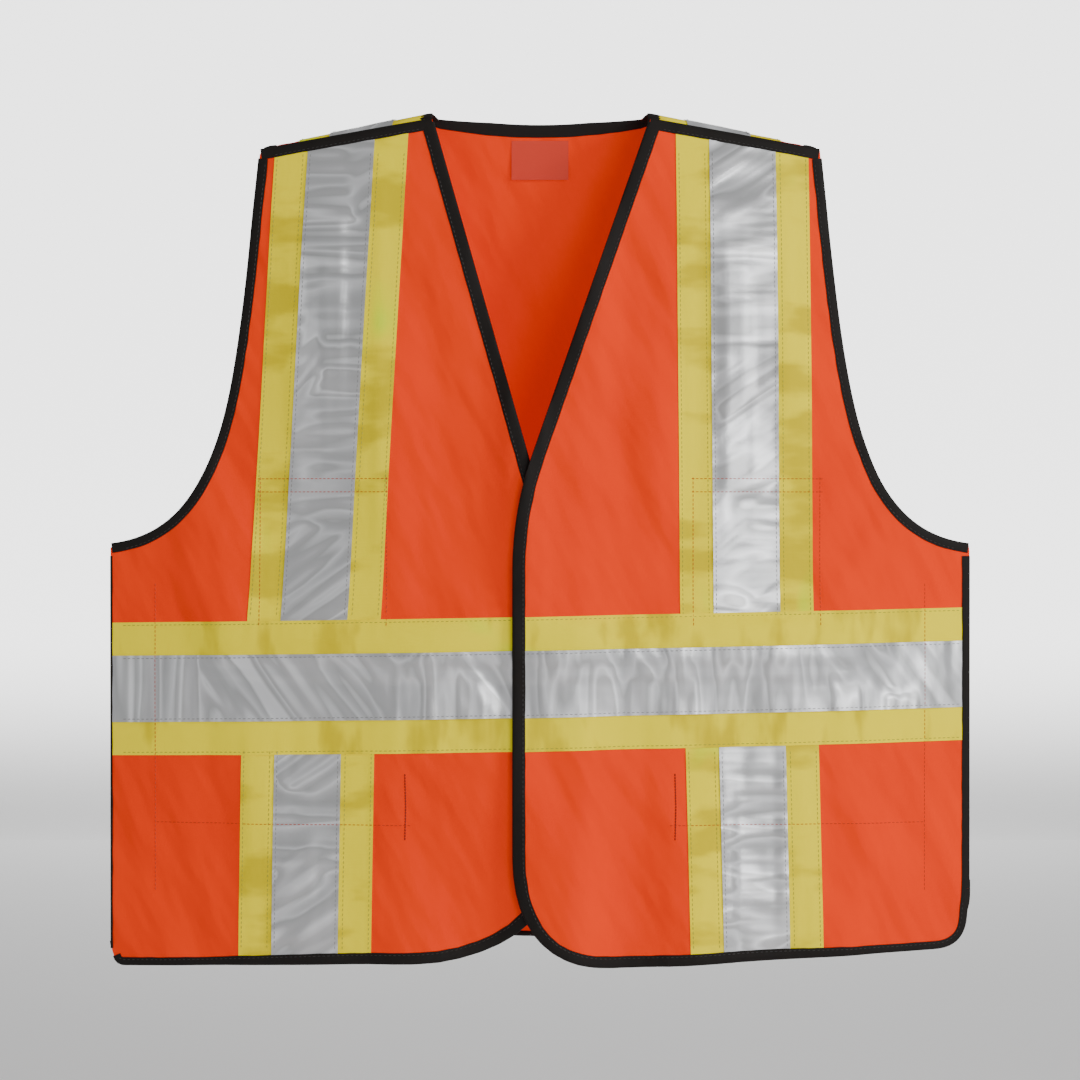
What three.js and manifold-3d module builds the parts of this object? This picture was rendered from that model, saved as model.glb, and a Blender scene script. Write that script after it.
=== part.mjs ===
// High visibility vest with five tear-away closures: two shoulders, two sides and the front.
// Millimetres, +Z up. The wearer faces -Y and the wearer's left is +X. The origin is level with
// the back neck edge, in the plane where the front and back sheets meet at the side folds.
// Inside the file heights are counted from the front hem, and one group at the end lowers
// everything by the height of the origin.

import * as THREE from 'three';
import { mergeVertices } from 'three/addons/utils/BufferGeometryUtils.js';
import Module from 'manifold-3d';

const wasm = await Module();
wasm.setup();

// Body outline
const HALF_WIDTH = 330;
const NECK_HEIGHT = 655;
const NECK_HALF_WIDTH = 79;
const NECK_DIP = 7;
const SHOULDER_HALF_WIDTH = 214;
const SHOULDER_SLOPE_DROP = 27;
const UNDERARM_HEIGHT = 325;
const BACK_HEM_HEIGHT = 12;
const FRONT_HEM_HEIGHT = 3;
const FRONT_HEM_SIDE_RISE = 7;
const SIDE_CORNER_EASE = 22;

// Front opening
const OVERLAP_HALF = 20;
const V_CORNER_HEIGHT = 350;
const V_CORNER_EASE = 45;
const FRONT_CORNER_EASE = 52;
const FRONT_NECK_INSET = 5;
const FRONT_NECK_DROP = 10;
const FRONT_SHOULDER_DROP = 3;

// How the two sheets stand apart
const BODY_HALF_DEPTH = 38;
const SHOULDER_INSET = 22;
const INSET_POWER = 1.6;
const CENTRE_FLAT_HALF = OVERLAP_HALF + 6;
const RAMP_LENGTH = 36;
const SIDE_COLUMNS = 6;
const SHOULDER_ROWS = 5;

// Thicknesses and the clearance between sewn layers
const CLEARANCE = 0.3;
const FABRIC = 1.2;
const TAPE = 0.6;
const BINDING = 0.7;
const STRIP = 1.1;
const BINDING_WIDTH = 10;

// Tapes
const LIME_WIDTH = 101.6;
const SILVER_WIDTH = 50.8;
const WAIST_HEIGHT = 219;
const TAPE_TOP_X = 152;
const TAPE_BOTTOM_X = 170;
const TAPE_TUCK = 14;
const CROSS_HEIGHT = 452;
const CROSS_SLOPE = 0.745;

// Hook and loop strips
const CENTRE_STRIP_SIDE_GAP = 0.5;
const CENTRE_STRIP_BOTTOM = 66;
const CENTRE_STRIP_TOP = 300;
const SIDE_STRIP_WIDTH = 25;
const SIDE_STRIP_BOTTOM = 60;
const SIDE_STRIP_TOP = 296;
const SIDE_TAB_WIDTH = 44;
const SIDE_TAB_END_GAP = 8;
const SHOULDER_STRIP_WIDTH = 25;
const SHOULDER_TAB_LENGTH = 46;
const SHOULDER_TAB_INSET = 3;

// Patches sewn inside the fronts, and the neck label
const CHEST_POCKET = { inner: 116, outer: 214, bottom: 266, top: 378 };
const LOWER_POCKET = { inner: 96, bottom: 16, top: 150, sideGap: 1.4 };
const LABEL_WIDTH = 44;
const LABEL_HEIGHT = 30;

// How finely curved edges are drawn, and the sign of X on each side
const CURVE_STEPS = 9;
const ARMHOLE_STEPS = 14;
const LEFT = 1;
const RIGHT = -1;

// Worked-out sizes
const SHOULDER_HEIGHT = NECK_HEIGHT - SHOULDER_SLOPE_DROP;
const BACK_NECK_HEIGHT = NECK_HEIGHT - NECK_DIP;
const TAPE_PITCH = TAPE + CLEARANCE;
const OVER_RAISE = FABRIC + 4 * TAPE_PITCH + BINDING + 2 * CLEARANCE;
const CENTRE_STRIP = (OVER_RAISE - FABRIC - 3 * CLEARANCE) / 2;
const CENTRE_STRIP_HALF = OVERLAP_HALF - BINDING_WIDTH - CENTRE_STRIP_SIDE_GAP;
const TAB_DEPTH = 2 * STRIP + 3 * CLEARANCE + FABRIC;
const FRONT_STANDOFF = TAB_DEPTH + CLEARANCE;
const BINDING_WRAP = CLEARANCE + BINDING;
const FRONT_SIDE_X = HALF_WIDTH - BINDING_WRAP - CLEARANCE;
const SIDE_STRIP_OUTER = FRONT_SIDE_X - BINDING_WIDTH - CLEARANCE;
const SIDE_STRIP_INNER = SIDE_STRIP_OUTER - SIDE_STRIP_WIDTH;

const COLOURS = {
  orange: { color: 0xff5a26, roughness: 0.75, metalness: 0 },
  lime: { color: 0xd8cf3c, roughness: 0.7, metalness: 0 },
  silver: { color: 0xbfc2c6, roughness: 0.4, metalness: 0.3 },
  black: { color: 0x1b1a1a, roughness: 0.8, metalness: 0 },
  hook: { color: 0x242322, roughness: 0.95, metalness: 0 },
  white: { color: 0xe9e9e6, roughness: 0.8, metalness: 0 },
};

// ---- solids -----------------------------------------------------------------------------

function toSolid(geometry) {
  geometry.deleteAttribute('normal');
  geometry.deleteAttribute('uv');
  const merged = mergeVertices(geometry);
  const vertProperties = new Float32Array(merged.attributes.position.array);
  const triVerts = new Uint32Array(merged.index.array);
  return new wasm.Manifold(new wasm.Mesh({ numProp: 3, vertProperties, triVerts }));
}

function toMesh(name, finish, solid) {
  const { vertProperties, triVerts } = solid.getMesh();
  const geometry = new THREE.BufferGeometry();
  geometry.setAttribute('position', new THREE.BufferAttribute(vertProperties, 3));
  geometry.setIndex(new THREE.BufferAttribute(triVerts, 1));
  geometry.computeVertexNormals();
  const mesh = new THREE.Mesh(geometry, new THREE.MeshStandardMaterial(COLOURS[finish]));
  mesh.name = name;
  return mesh;
}

// A straight prism through the whole vest, from an outline drawn in the XZ plane.
function prism(shape) {
  const reach = 4 * BODY_HALF_DEPTH;
  const geometry = new THREE.ExtrudeGeometry(shape, { depth: reach, bevelEnabled: false });
  geometry.rotateX(Math.PI / 2);
  geometry.translate(0, reach / 2, 0);
  return toSolid(geometry);
}

// ---- the curved sheets ------------------------------------------------------------------

function halfColumns() {
  const rampEnd = CENTRE_FLAT_HALF + RAMP_LENGTH;
  const columns = [CENTRE_FLAT_HALF];
  for (let i = 0; i <= SIDE_COLUMNS; i += 1) {
    columns.push(rampEnd + ((HALF_WIDTH - rampEnd) * i) / SIDE_COLUMNS);
  }
  columns.push(HALF_WIDTH + BINDING_WIDTH);
  return columns;
}

function allRows() {
  const rows = [-2 * BINDING_WIDTH];
  for (let i = 0; i <= SHOULDER_ROWS; i += 1) {
    rows.push(UNDERARM_HEIGHT + ((NECK_HEIGHT - UNDERARM_HEIGHT) * i) / SHOULDER_ROWS);
  }
  rows.push(NECK_HEIGHT + 2 * BINDING_WIDTH);
  return rows;
}

const HALF = halfColumns();
const COLUMNS = [...HALF.map((x) => -x).reverse(), ...HALF];
const ROWS = allRows();

// The sheets bulge most in the middle and come in towards the shoulders. Both terms are added,
// so every cell of the grid is flat and layers at different offsets stay parallel.
function bulge(x) {
  const share = Math.min(Math.abs(x) / HALF_WIDTH, 1);
  return BODY_HALF_DEPTH * (1 - share * share);
}

function inset(z) {
  const share = Math.max((z - UNDERARM_HEIGHT) / (NECK_HEIGHT - UNDERARM_HEIGHT), 0);
  return SHOULDER_INSET * share ** INSET_POWER;
}

// The over front steps outwards where it crosses the under front.
function overRaise(side, x) {
  if (side === RIGHT) {
    return 0;
  }
  const share = (x - CENTRE_FLAT_HALF) / RAMP_LENGTH;
  return OVER_RAISE * (1 - Math.min(Math.max(share, 0), 1));
}

function frontY(side, x, z) {
  return inset(z) - bulge(x) - FRONT_STANDOFF - overRaise(side, x);
}

function backY(x, z) {
  return bulge(x) + CLEARANCE - inset(z);
}

// The space between two faces, each a height in Y over the grid of columns and rows.
function slab(frontFace, backFace) {
  const columns = COLUMNS.length - 1;
  const rows = ROWS.length - 1;
  const geometry = new THREE.BoxGeometry(1, 1, 1, columns, 1, rows);
  const position = geometry.attributes.position;
  for (let i = 0; i < position.count; i += 1) {
    const x = COLUMNS[Math.round((position.getX(i) + 0.5) * columns)];
    const z = ROWS[Math.round((position.getZ(i) + 0.5) * rows)];
    const face = position.getY(i) < 0 ? frontFace : backFace;
    position.setXYZ(i, x, face(x, z), z);
  }
  return toSolid(geometry);
}

// A layer of a front, between two distances outwards from the fabric's inner face.
function frontLayer(side, inner, outer) {
  return slab((x, z) => frontY(side, x, z) - outer, (x, z) => frontY(side, x, z) - inner);
}

function backLayer(inner, outer) {
  return slab((x, z) => backY(x, z) + inner, (x, z) => backY(x, z) + outer);
}

// ---- outlines ---------------------------------------------------------------------------

function straight(fromX, fromZ, toX, toZ) {
  return [new THREE.Vector2(fromX, fromZ), new THREE.Vector2(toX, toZ)];
}

// An open edge through corners, where each inner corner is eased over its own distance.
function easedEdge(corners) {
  const path = new THREE.Path();
  path.moveTo(corners[0].x, corners[0].z);
  for (let i = 1; i < corners.length - 1; i += 1) {
    const corner = new THREE.Vector2(corners[i].x, corners[i].z);
    const before = new THREE.Vector2(corners[i - 1].x, corners[i - 1].z);
    const after = new THREE.Vector2(corners[i + 1].x, corners[i + 1].z);
    const start = before.sub(corner).setLength(corners[i].ease).add(corner);
    const end = after.sub(corner).setLength(corners[i].ease).add(corner);
    path.lineTo(start.x, start.y);
    path.quadraticCurveTo(corner.x, corner.y, end.x, end.y);
  }
  const last = corners[corners.length - 1];
  path.lineTo(last.x, last.z);
  return path.getPoints(CURVE_STEPS);
}

// An armhole from the underarm up to the shoulder. Depth is how far it is cut inwards.
function armhole(bottomX, topHeight, depth) {
  const width = bottomX - SHOULDER_HALF_WIDTH;
  const height = topHeight - UNDERARM_HEIGHT;
  const path = new THREE.Path();
  path.moveTo(bottomX, UNDERARM_HEIGHT);
  path.bezierCurveTo(
    SHOULDER_HALF_WIDTH + width * (0.22 - depth), UNDERARM_HEIGHT + height * 0.035,
    SHOULDER_HALF_WIDTH + width * (0.155 - depth), UNDERARM_HEIGHT + height * 0.38,
    SHOULDER_HALF_WIDTH, topHeight,
  );
  return path.getPoints(ARMHOLE_STEPS);
}

function mirrored(points) {
  return points.map((point) => new THREE.Vector2(-point.x, point.y)).reverse();
}

function joined(...edges) {
  const points = edges.flat();
  return points.filter((point, i) => i === 0 || point.distanceTo(points[i - 1]) > 0.01);
}

function outline(...edges) {
  const points = joined(...edges);
  if (points[0].distanceTo(points[points.length - 1]) < 0.01) {
    points.pop();
  }
  return new THREE.Shape(points);
}

// Points moved square to the edge, to the left of its direction.
function offsetPoints(points, distance) {
  return points.map((point, i) => {
    const before = points[Math.max(i - 1, 0)];
    const after = points[Math.min(i + 1, points.length - 1)];
    const along = after.clone().sub(before).normalize();
    return new THREE.Vector2(point.x - along.y * distance, point.y + along.x * distance);
  });
}

// A band along an edge. The panel lies to the left of the edge's direction.
function ribbon(points, inward, outward) {
  const inner = offsetPoints(points, inward);
  const outer = offsetPoints(points, -outward);
  return new THREE.Shape([...outer, ...inner.reverse()]);
}

// The edge without a length at its start and its end.
function trimmed(points, startLength, endLength) {
  const cut = (list, length) => {
    const rest = [...list];
    let left = length;
    while (rest.length > 2 && rest[0].distanceTo(rest[1]) <= left) {
      left -= rest[0].distanceTo(rest[1]);
      rest.shift();
    }
    const next = rest[1].clone().sub(rest[0]).setLength(left);
    rest[0] = rest[0].clone().add(next);
    return rest;
  };
  return cut(cut(points, startLength).reverse(), endLength).reverse();
}

function strip(fromX, fromZ, toX, toZ, width) {
  return ribbon(straight(fromX, fromZ, toX, toZ), width / 2, width / 2);
}

function rectangle(fromX, toX, bottom, top) {
  return strip(fromX, (bottom + top) / 2, toX, (bottom + top) / 2, top - bottom);
}

// ---- bound edges and tapes --------------------------------------------------------------

// The edge carried straight on at both ends.
function lengthened(points, length) {
  const last = points.length - 1;
  const before = points[0].clone().sub(points[1]).setLength(length).add(points[0]);
  const after = points[last].clone().sub(points[last - 1]).setLength(length).add(points[last]);
  return [before, ...points, after];
}

// Binding folded over a panel edge: two legs and the wrap round the raw edge.
function binding(points, layer) {
  const cover = prism(ribbon(points, BINDING_WIDTH, BINDING_WRAP));
  const kept = prism(ribbon(lengthened(points, BINDING_WIDTH), BINDING_WIDTH + 1, CLEARANCE));
  const thick = layer(-BINDING_WRAP, FABRIC + BINDING_WRAP);
  const panel = layer(-CLEARANCE, FABRIC + CLEARANCE);
  return cover.intersect(thick).subtract(kept.intersect(panel));
}

// Everything within the binding's reach of the given edges.
function boundZone(edges) {
  const reach = BINDING_WIDTH + CLEARANCE;
  const bands = edges.map((edge) => prism(ribbon(edge, reach, BINDING_WIDTH)));
  return bands.reduce((all, band) => all.add(band));
}

function tapeLayer(layer, level) {
  const inner = FABRIC + CLEARANCE + level * TAPE_PITCH;
  return layer(inner, inner + TAPE);
}

// A tape that reaches from the fabric over other tapes, with a channel for each of them.
function overTapeLayer(layer, level) {
  return layer(FABRIC + CLEARANCE, FABRIC + CLEARANCE + level * TAPE_PITCH + TAPE);
}

function channel(shapes, layer, level) {
  const bands = shapes.map((shape) => prism(shape));
  const space = layer(0, FABRIC + level * TAPE_PITCH + CLEARANCE);
  return bands.reduce((all, band) => all.add(band)).intersect(space);
}

// ---- front panels -----------------------------------------------------------------------

function frontEdges(side) {
  const neck = {
    x: NECK_HALF_WIDTH + FRONT_NECK_INSET,
    z: NECK_HEIGHT - FRONT_NECK_DROP,
  };
  const armTop = SHOULDER_HEIGHT - FRONT_SHOULDER_DROP;
  const sideStart = FRONT_HEM_HEIGHT + FRONT_HEM_SIDE_RISE + 2 * SIDE_CORNER_EASE;
  const opening = easedEdge([
    neck,
    { x: -OVERLAP_HALF, z: V_CORNER_HEIGHT, ease: V_CORNER_EASE },
    { x: -OVERLAP_HALF, z: FRONT_HEM_HEIGHT, ease: FRONT_CORNER_EASE },
    { x: FRONT_SIDE_X, z: FRONT_HEM_HEIGHT + FRONT_HEM_SIDE_RISE, ease: SIDE_CORNER_EASE },
    { x: FRONT_SIDE_X, z: sideStart },
  ]);
  const edges = {
    opening,
    side: straight(FRONT_SIDE_X, sideStart, FRONT_SIDE_X, UNDERARM_HEIGHT),
    arm: armhole(FRONT_SIDE_X, armTop, 0),
    shoulder: straight(SHOULDER_HALF_WIDTH, armTop, neck.x, neck.z),
  };
  if (side === LEFT) {
    return edges;
  }
  return Object.fromEntries(Object.entries(edges).map(([name, edge]) => [name, mirrored(edge)]));
}

function frontOutline(side) {
  const edges = frontEdges(side);
  if (side === LEFT) {
    return outline(edges.opening, edges.side, edges.arm, edges.shoulder);
  }
  return outline(edges.shoulder, edges.arm, edges.side, edges.opening);
}

function frontBindings(side, name, layer) {
  const edges = frontEdges(side);
  const end = BINDING_WIDTH + 2 * BINDING_WRAP;
  const trim = (edge, start, stop) => {
    const [first, last] = side === LEFT ? [start, stop] : [stop, start];
    return trimmed(edge, first, last);
  };
  return [
    toMesh(`${name}_front_edge_binding`, 'black', binding(trim(edges.opening, end, 1), layer)),
    toMesh(`${name}_front_side_binding`, 'black', binding(trim(edges.side, 0, end), layer)),
    toMesh(`${name}_front_armhole_binding`, 'black', binding(trim(edges.arm, 0, end), layer)),
    toMesh(`${name}_front_shoulder_binding`, 'black', binding(edges.shoulder, layer)),
  ];
}

function tapeX(z) {
  const share = (z - FRONT_HEM_HEIGHT) / (NECK_HEIGHT - FRONT_HEM_HEIGHT);
  return TAPE_BOTTOM_X + (TAPE_TOP_X - TAPE_BOTTOM_X) * share;
}

function verticalStrip(side, bottom, top, width) {
  return strip(side * tapeX(bottom), bottom, side * tapeX(top), top, width);
}

function waistBand(width) {
  const bottom = WAIST_HEIGHT - width / 2;
  return rectangle(-HALF_WIDTH, HALF_WIDTH, bottom, bottom + width);
}

function frontTapes(side, name, layer) {
  const panel = prism(frontOutline(side)).subtract(boundZone(Object.values(frontEdges(side))));
  const closureEdge = -CENTRE_STRIP_HALF - CLEARANCE;
  const closure = prism(rectangle(closureEdge, HALF_WIDTH, 0, NECK_HEIGHT));
  const face = side === LEFT ? panel : panel.subtract(closure);
  const waistTop = WAIST_HEIGHT + LIME_WIDTH / 2;
  const waistBottom = WAIST_HEIGHT - LIME_WIDTH / 2;
  const upperEnd = waistTop - TAPE_TUCK;
  const lowerEnd = waistBottom + TAPE_TUCK;
  const upper = (width) => verticalStrip(side, upperEnd, NECK_HEIGHT + LIME_WIDTH, width);
  const lower = (width) => verticalStrip(side, -LIME_WIDTH, lowerEnd, width);
  const sewn = (shape, level) => prism(shape).intersect(face).intersect(tapeLayer(layer, level));
  const under = LIME_WIDTH + 2 * CLEARANCE;
  const roomUpper = verticalStrip(side, upperEnd - CLEARANCE, NECK_HEIGHT, under);
  const roomLower = verticalStrip(side, 0, lowerEnd + CLEARANCE, under);
  const room = channel([roomUpper, roomLower], layer, 2);
  const waistField = prism(waistBand(LIME_WIDTH)).intersect(face);
  const waistLime = waistField.intersect(overTapeLayer(layer, 2)).subtract(room);
  return [
    toMesh(`${name}_upper_lime_tape`, 'lime', sewn(upper(LIME_WIDTH), 0)),
    toMesh(`${name}_upper_silver_tape`, 'silver', sewn(upper(SILVER_WIDTH), 1)),
    toMesh(`${name}_lower_lime_tape`, 'lime', sewn(lower(LIME_WIDTH), 0)),
    toMesh(`${name}_lower_silver_tape`, 'silver', sewn(lower(SILVER_WIDTH), 1)),
    toMesh(`${name}_waist_lime_tape`, 'lime', waistLime),
    toMesh(`${name}_waist_silver_tape`, 'silver', sewn(waistBand(SILVER_WIDTH), 3)),
  ];
}

// The lower pocket reaches almost to the side strip, and the chest pocket has its own width.
function pocket(side, size) {
  const outer = size.outer ?? SIDE_STRIP_INNER - size.sideGap;
  return rectangle(side * size.inner, side * outer, size.bottom, size.top);
}

function frontPockets(side, name, layer) {
  const inside = layer(-CLEARANCE - FABRIC, -CLEARANCE);
  const bound = boundZone(Object.values(frontEdges(side)));
  const patch = (size) => prism(pocket(side, size)).intersect(inside).subtract(bound);
  return [
    toMesh(`${name}_chest_pocket`, 'orange', patch(CHEST_POCKET)),
    toMesh(`${name}_lower_pocket`, 'orange', patch(LOWER_POCKET)),
  ];
}

// ---- closures ---------------------------------------------------------------------------

// Depth from the front fabric's inner face to each closure layer, counted inwards.
const HOOK_DEPTH = { near: CLEARANCE, far: CLEARANCE + STRIP };
const LOOP_DEPTH = { near: 2 * CLEARANCE + STRIP, far: 2 * CLEARANCE + 2 * STRIP };

function insideLayer(side, depth) {
  return frontLayer(side, -depth.far, -depth.near);
}

function sideStripOutline(side) {
  return rectangle(
    side * SIDE_STRIP_INNER, side * SIDE_STRIP_OUTER, SIDE_STRIP_BOTTOM, SIDE_STRIP_TOP,
  );
}

function shoulderZ(x) {
  const share = (Math.abs(x) - NECK_HALF_WIDTH) / (SHOULDER_HALF_WIDTH - NECK_HALF_WIDTH);
  return NECK_HEIGHT - SHOULDER_SLOPE_DROP * share;
}

function shoulderBand(side, innerX, outerX, topDrop, bottomDrop) {
  const at = (x, drop) => new THREE.Vector2(side * x, shoulderZ(x) - drop);
  return new THREE.Shape([
    at(innerX, bottomDrop), at(outerX, bottomDrop), at(outerX, topDrop), at(innerX, topDrop),
  ]);
}

function shoulderStripOutline(side) {
  const top = FRONT_NECK_DROP + BINDING_WIDTH + 2 * CLEARANCE;
  const inner = NECK_HALF_WIDTH + FRONT_NECK_INSET + 2 * BINDING_WIDTH;
  const outer = SHOULDER_HALF_WIDTH - 1.5 * BINDING_WIDTH;
  return shoulderBand(side, inner, outer, top, top + SHOULDER_STRIP_WIDTH);
}

function centreStrip() {
  const shape = rectangle(
    -CENTRE_STRIP_HALF, CENTRE_STRIP_HALF, CENTRE_STRIP_BOTTOM, CENTRE_STRIP_TOP,
  );
  return prism(shape);
}

function closureHooks(side, name) {
  const hook = insideLayer(side, HOOK_DEPTH);
  const shoulder = prism(shoulderStripOutline(side)).intersect(hook);
  const fold = prism(sideStripOutline(side)).intersect(hook);
  return [
    toMesh(`${name}_shoulder_hook_strip`, 'hook', shoulder),
    toMesh(`${name}_side_hook_strip`, 'hook', fold),
  ];
}

// The hook strip is inside the over front, and the loop strip outside the under front.
function centreClosure(side) {
  if (side === LEFT) {
    const inside = frontLayer(LEFT, -CLEARANCE - CENTRE_STRIP, -CLEARANCE);
    return toMesh('front_hook_strip', 'hook', centreStrip().intersect(inside));
  }
  const outside = frontLayer(RIGHT, FABRIC + CLEARANCE, FABRIC + CLEARANCE + CENTRE_STRIP);
  return toMesh('front_loop_strip', 'hook', centreStrip().intersect(outside));
}

function sideTab(side, name) {
  const shape = rectangle(
    side * (HALF_WIDTH - SIDE_TAB_WIDTH), side * HALF_WIDTH,
    BACK_HEM_HEIGHT + SIDE_CORNER_EASE + BINDING_WIDTH, UNDERARM_HEIGHT - SIDE_TAB_END_GAP,
  );
  const tab = prism(shape).intersect(frontLayer(side, -TAB_DEPTH, FABRIC - TAB_DEPTH));
  const loop = prism(sideStripOutline(side)).intersect(insideLayer(side, LOOP_DEPTH));
  return [
    toMesh(`${name}_side_tab`, 'orange', tab),
    toMesh(`${name}_side_loop_strip`, 'hook', loop),
  ];
}

function frontPanel(side, name) {
  const layer = (inner, outer) => frontLayer(side, inner, outer);
  const fabric = prism(frontOutline(side)).intersect(layer(0, FABRIC));
  return [
    toMesh(`${name}_front_panel`, 'orange', fabric),
    ...frontBindings(side, name, layer),
    ...frontTapes(side, name, layer),
    ...frontPockets(side, name, layer),
    ...closureHooks(side, name),
    centreClosure(side),
  ];
}

// ---- back panel -------------------------------------------------------------------------

function backEdges() {
  const arm = armhole(HALF_WIDTH, SHOULDER_HEIGHT, 0.1);
  const neck = new THREE.Path();
  neck.moveTo(NECK_HALF_WIDTH, NECK_HEIGHT);
  neck.quadraticCurveTo(0, NECK_HEIGHT - 2 * NECK_DIP, -NECK_HALF_WIDTH, NECK_HEIGHT);
  const hem = easedEdge([
    { x: -HALF_WIDTH, z: BACK_HEM_HEIGHT + 2 * SIDE_CORNER_EASE },
    { x: -HALF_WIDTH, z: BACK_HEM_HEIGHT, ease: SIDE_CORNER_EASE },
    { x: HALF_WIDTH, z: BACK_HEM_HEIGHT, ease: SIDE_CORNER_EASE },
    { x: HALF_WIDTH, z: BACK_HEM_HEIGHT + 2 * SIDE_CORNER_EASE },
  ]);
  return { hem, leftArm: arm, neck: neck.getPoints(CURVE_STEPS), rightArm: mirrored(arm) };
}

// A tab runs from the back over the shoulder's crest and down behind the front.
function shoulderTab(side, name) {
  const inner = NECK_HALF_WIDTH + SHOULDER_TAB_INSET;
  const outer = SHOULDER_HALF_WIDTH - SHOULDER_TAB_INSET;
  const front = (offset) => (x, z) => frontY(RIGHT, x, z) + TAB_DEPTH - offset;
  const back = (x, z) => backY(x, z) - CLEARANCE;
  const roof = prism(shoulderBand(side, inner, outer, 0, FABRIC));
  const flap = prism(shoulderBand(side, inner, outer, 0, SHOULDER_TAB_LENGTH));
  const crest = roof.intersect(slab(front(FABRIC), back));
  const solid = crest.add(flap.intersect(slab(front(FABRIC), front(0))));
  return toMesh(`${name}_shoulder_tab`, 'orange', solid);
}

function backPanel() {
  return toMesh('back_panel', 'orange', prism(backOutline()).intersect(backLayer(0, FABRIC)));
}

function backBindings() {
  const edges = backEdges();
  const end = BINDING_WIDTH + 2 * BINDING_WRAP;
  const bound = (name, edge, trim) => {
    return toMesh(name, 'black', binding(trimmed(edge, trim, trim), backLayer));
  };
  return [
    bound('back_neck_binding', edges.neck, SHOULDER_TAB_INSET),
    bound('back_hem_binding', edges.hem, SIDE_CORNER_EASE),
    bound('left_back_armhole_binding', edges.leftArm, end),
    bound('right_back_armhole_binding', edges.rightArm, end),
  ];
}

function crossStrip(side, width) {
  const reach = NECK_HEIGHT;
  return strip(
    -side * reach * CROSS_SLOPE, CROSS_HEIGHT - reach,
    side * reach * CROSS_SLOPE, CROSS_HEIGHT + reach, width,
  );
}

function backOutline() {
  const edges = backEdges();
  return outline(edges.hem, edges.leftArm, edges.neck, edges.rightArm);
}

// The right cross tape lies over the left one. Both stop at the waist band's upper edge.
function backTapes() {
  const face = prism(backOutline()).subtract(boundZone(Object.values(backEdges())));
  const bandTop = WAIST_HEIGHT + LIME_WIDTH / 2 + CLEARANCE;
  const upperField = prism(rectangle(-HALF_WIDTH, HALF_WIDTH, bandTop, 2 * NECK_HEIGHT));
  const crossField = face.intersect(upperField);
  const tape = (name, finish, shape, field, level) => {
    const solid = prism(shape).intersect(field).intersect(tapeLayer(backLayer, level));
    return toMesh(name, finish, solid);
  };
  const room = channel([crossStrip(LEFT, LIME_WIDTH + 2 * CLEARANCE)], backLayer, 2);
  const overField = prism(crossStrip(RIGHT, LIME_WIDTH)).intersect(crossField);
  const overLime = overField.intersect(overTapeLayer(backLayer, 2)).subtract(room);
  return [
    tape('left_cross_lime_tape', 'lime', crossStrip(LEFT, LIME_WIDTH), crossField, 0),
    tape('left_cross_silver_tape', 'silver', crossStrip(LEFT, SILVER_WIDTH), crossField, 1),
    toMesh('right_cross_lime_tape', 'lime', overLime),
    tape('right_cross_silver_tape', 'silver', crossStrip(RIGHT, SILVER_WIDTH), crossField, 3),
    tape('back_waist_lime_tape', 'lime', waistBand(LIME_WIDTH), face, 0),
    tape('back_waist_silver_tape', 'silver', waistBand(SILVER_WIDTH), face, 1),
  ];
}

function neckLabel() {
  const top = BACK_NECK_HEIGHT - BINDING_WIDTH - CLEARANCE;
  const shape = rectangle(-LABEL_WIDTH / 2, LABEL_WIDTH / 2, top - LABEL_HEIGHT, top);
  return toMesh('neck_label', 'white', prism(shape).intersect(backLayer(-TAPE_PITCH, -CLEARANCE)));
}

function shoulderLoop(side, name) {
  const solid = prism(shoulderStripOutline(side)).intersect(insideLayer(RIGHT, LOOP_DEPTH));
  return toMesh(`${name}_shoulder_loop_strip`, 'hook', solid);
}

// ---- assembly ---------------------------------------------------------------------------

function group(...meshes) {
  const parts = new THREE.Group();
  parts.add(...meshes);
  return parts;
}

const vest = new THREE.Group();
const raised = group(
  group(
    backPanel(),
    ...backBindings(),
    ...backTapes(),
    neckLabel(),
    shoulderTab(LEFT, 'left'),
    shoulderTab(RIGHT, 'right'),
    shoulderLoop(LEFT, 'left'),
    shoulderLoop(RIGHT, 'right'),
  ),
  group(...sideTab(LEFT, 'left')),
  group(...frontPanel(LEFT, 'left')),
  group(...sideTab(RIGHT, 'right')),
  group(...frontPanel(RIGHT, 'right')),
);
raised.position.z = -BACK_NECK_HEIGHT;
vest.add(raised);

export default vest;
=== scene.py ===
"""Looks of a high visibility vest: cloth, folded binding, tapes, closures, stitching, studio.

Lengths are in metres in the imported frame: +Z is up, the wearer faces -Y and the wearer's left
is +X. A place on the garment is written flat, as (x, height), where height counts from the
front hem, and a shell turns flat places into places in the frame, at a distance outwards from
the cloth's inner face.
"""

import logging
import math
from dataclasses import dataclass, field
from enum import Enum
from typing import Callable, Union

import bmesh
import bpy
import numpy as np
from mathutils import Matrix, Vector, noise
from mathutils.geometry import delaunay_2d_cdt


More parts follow.
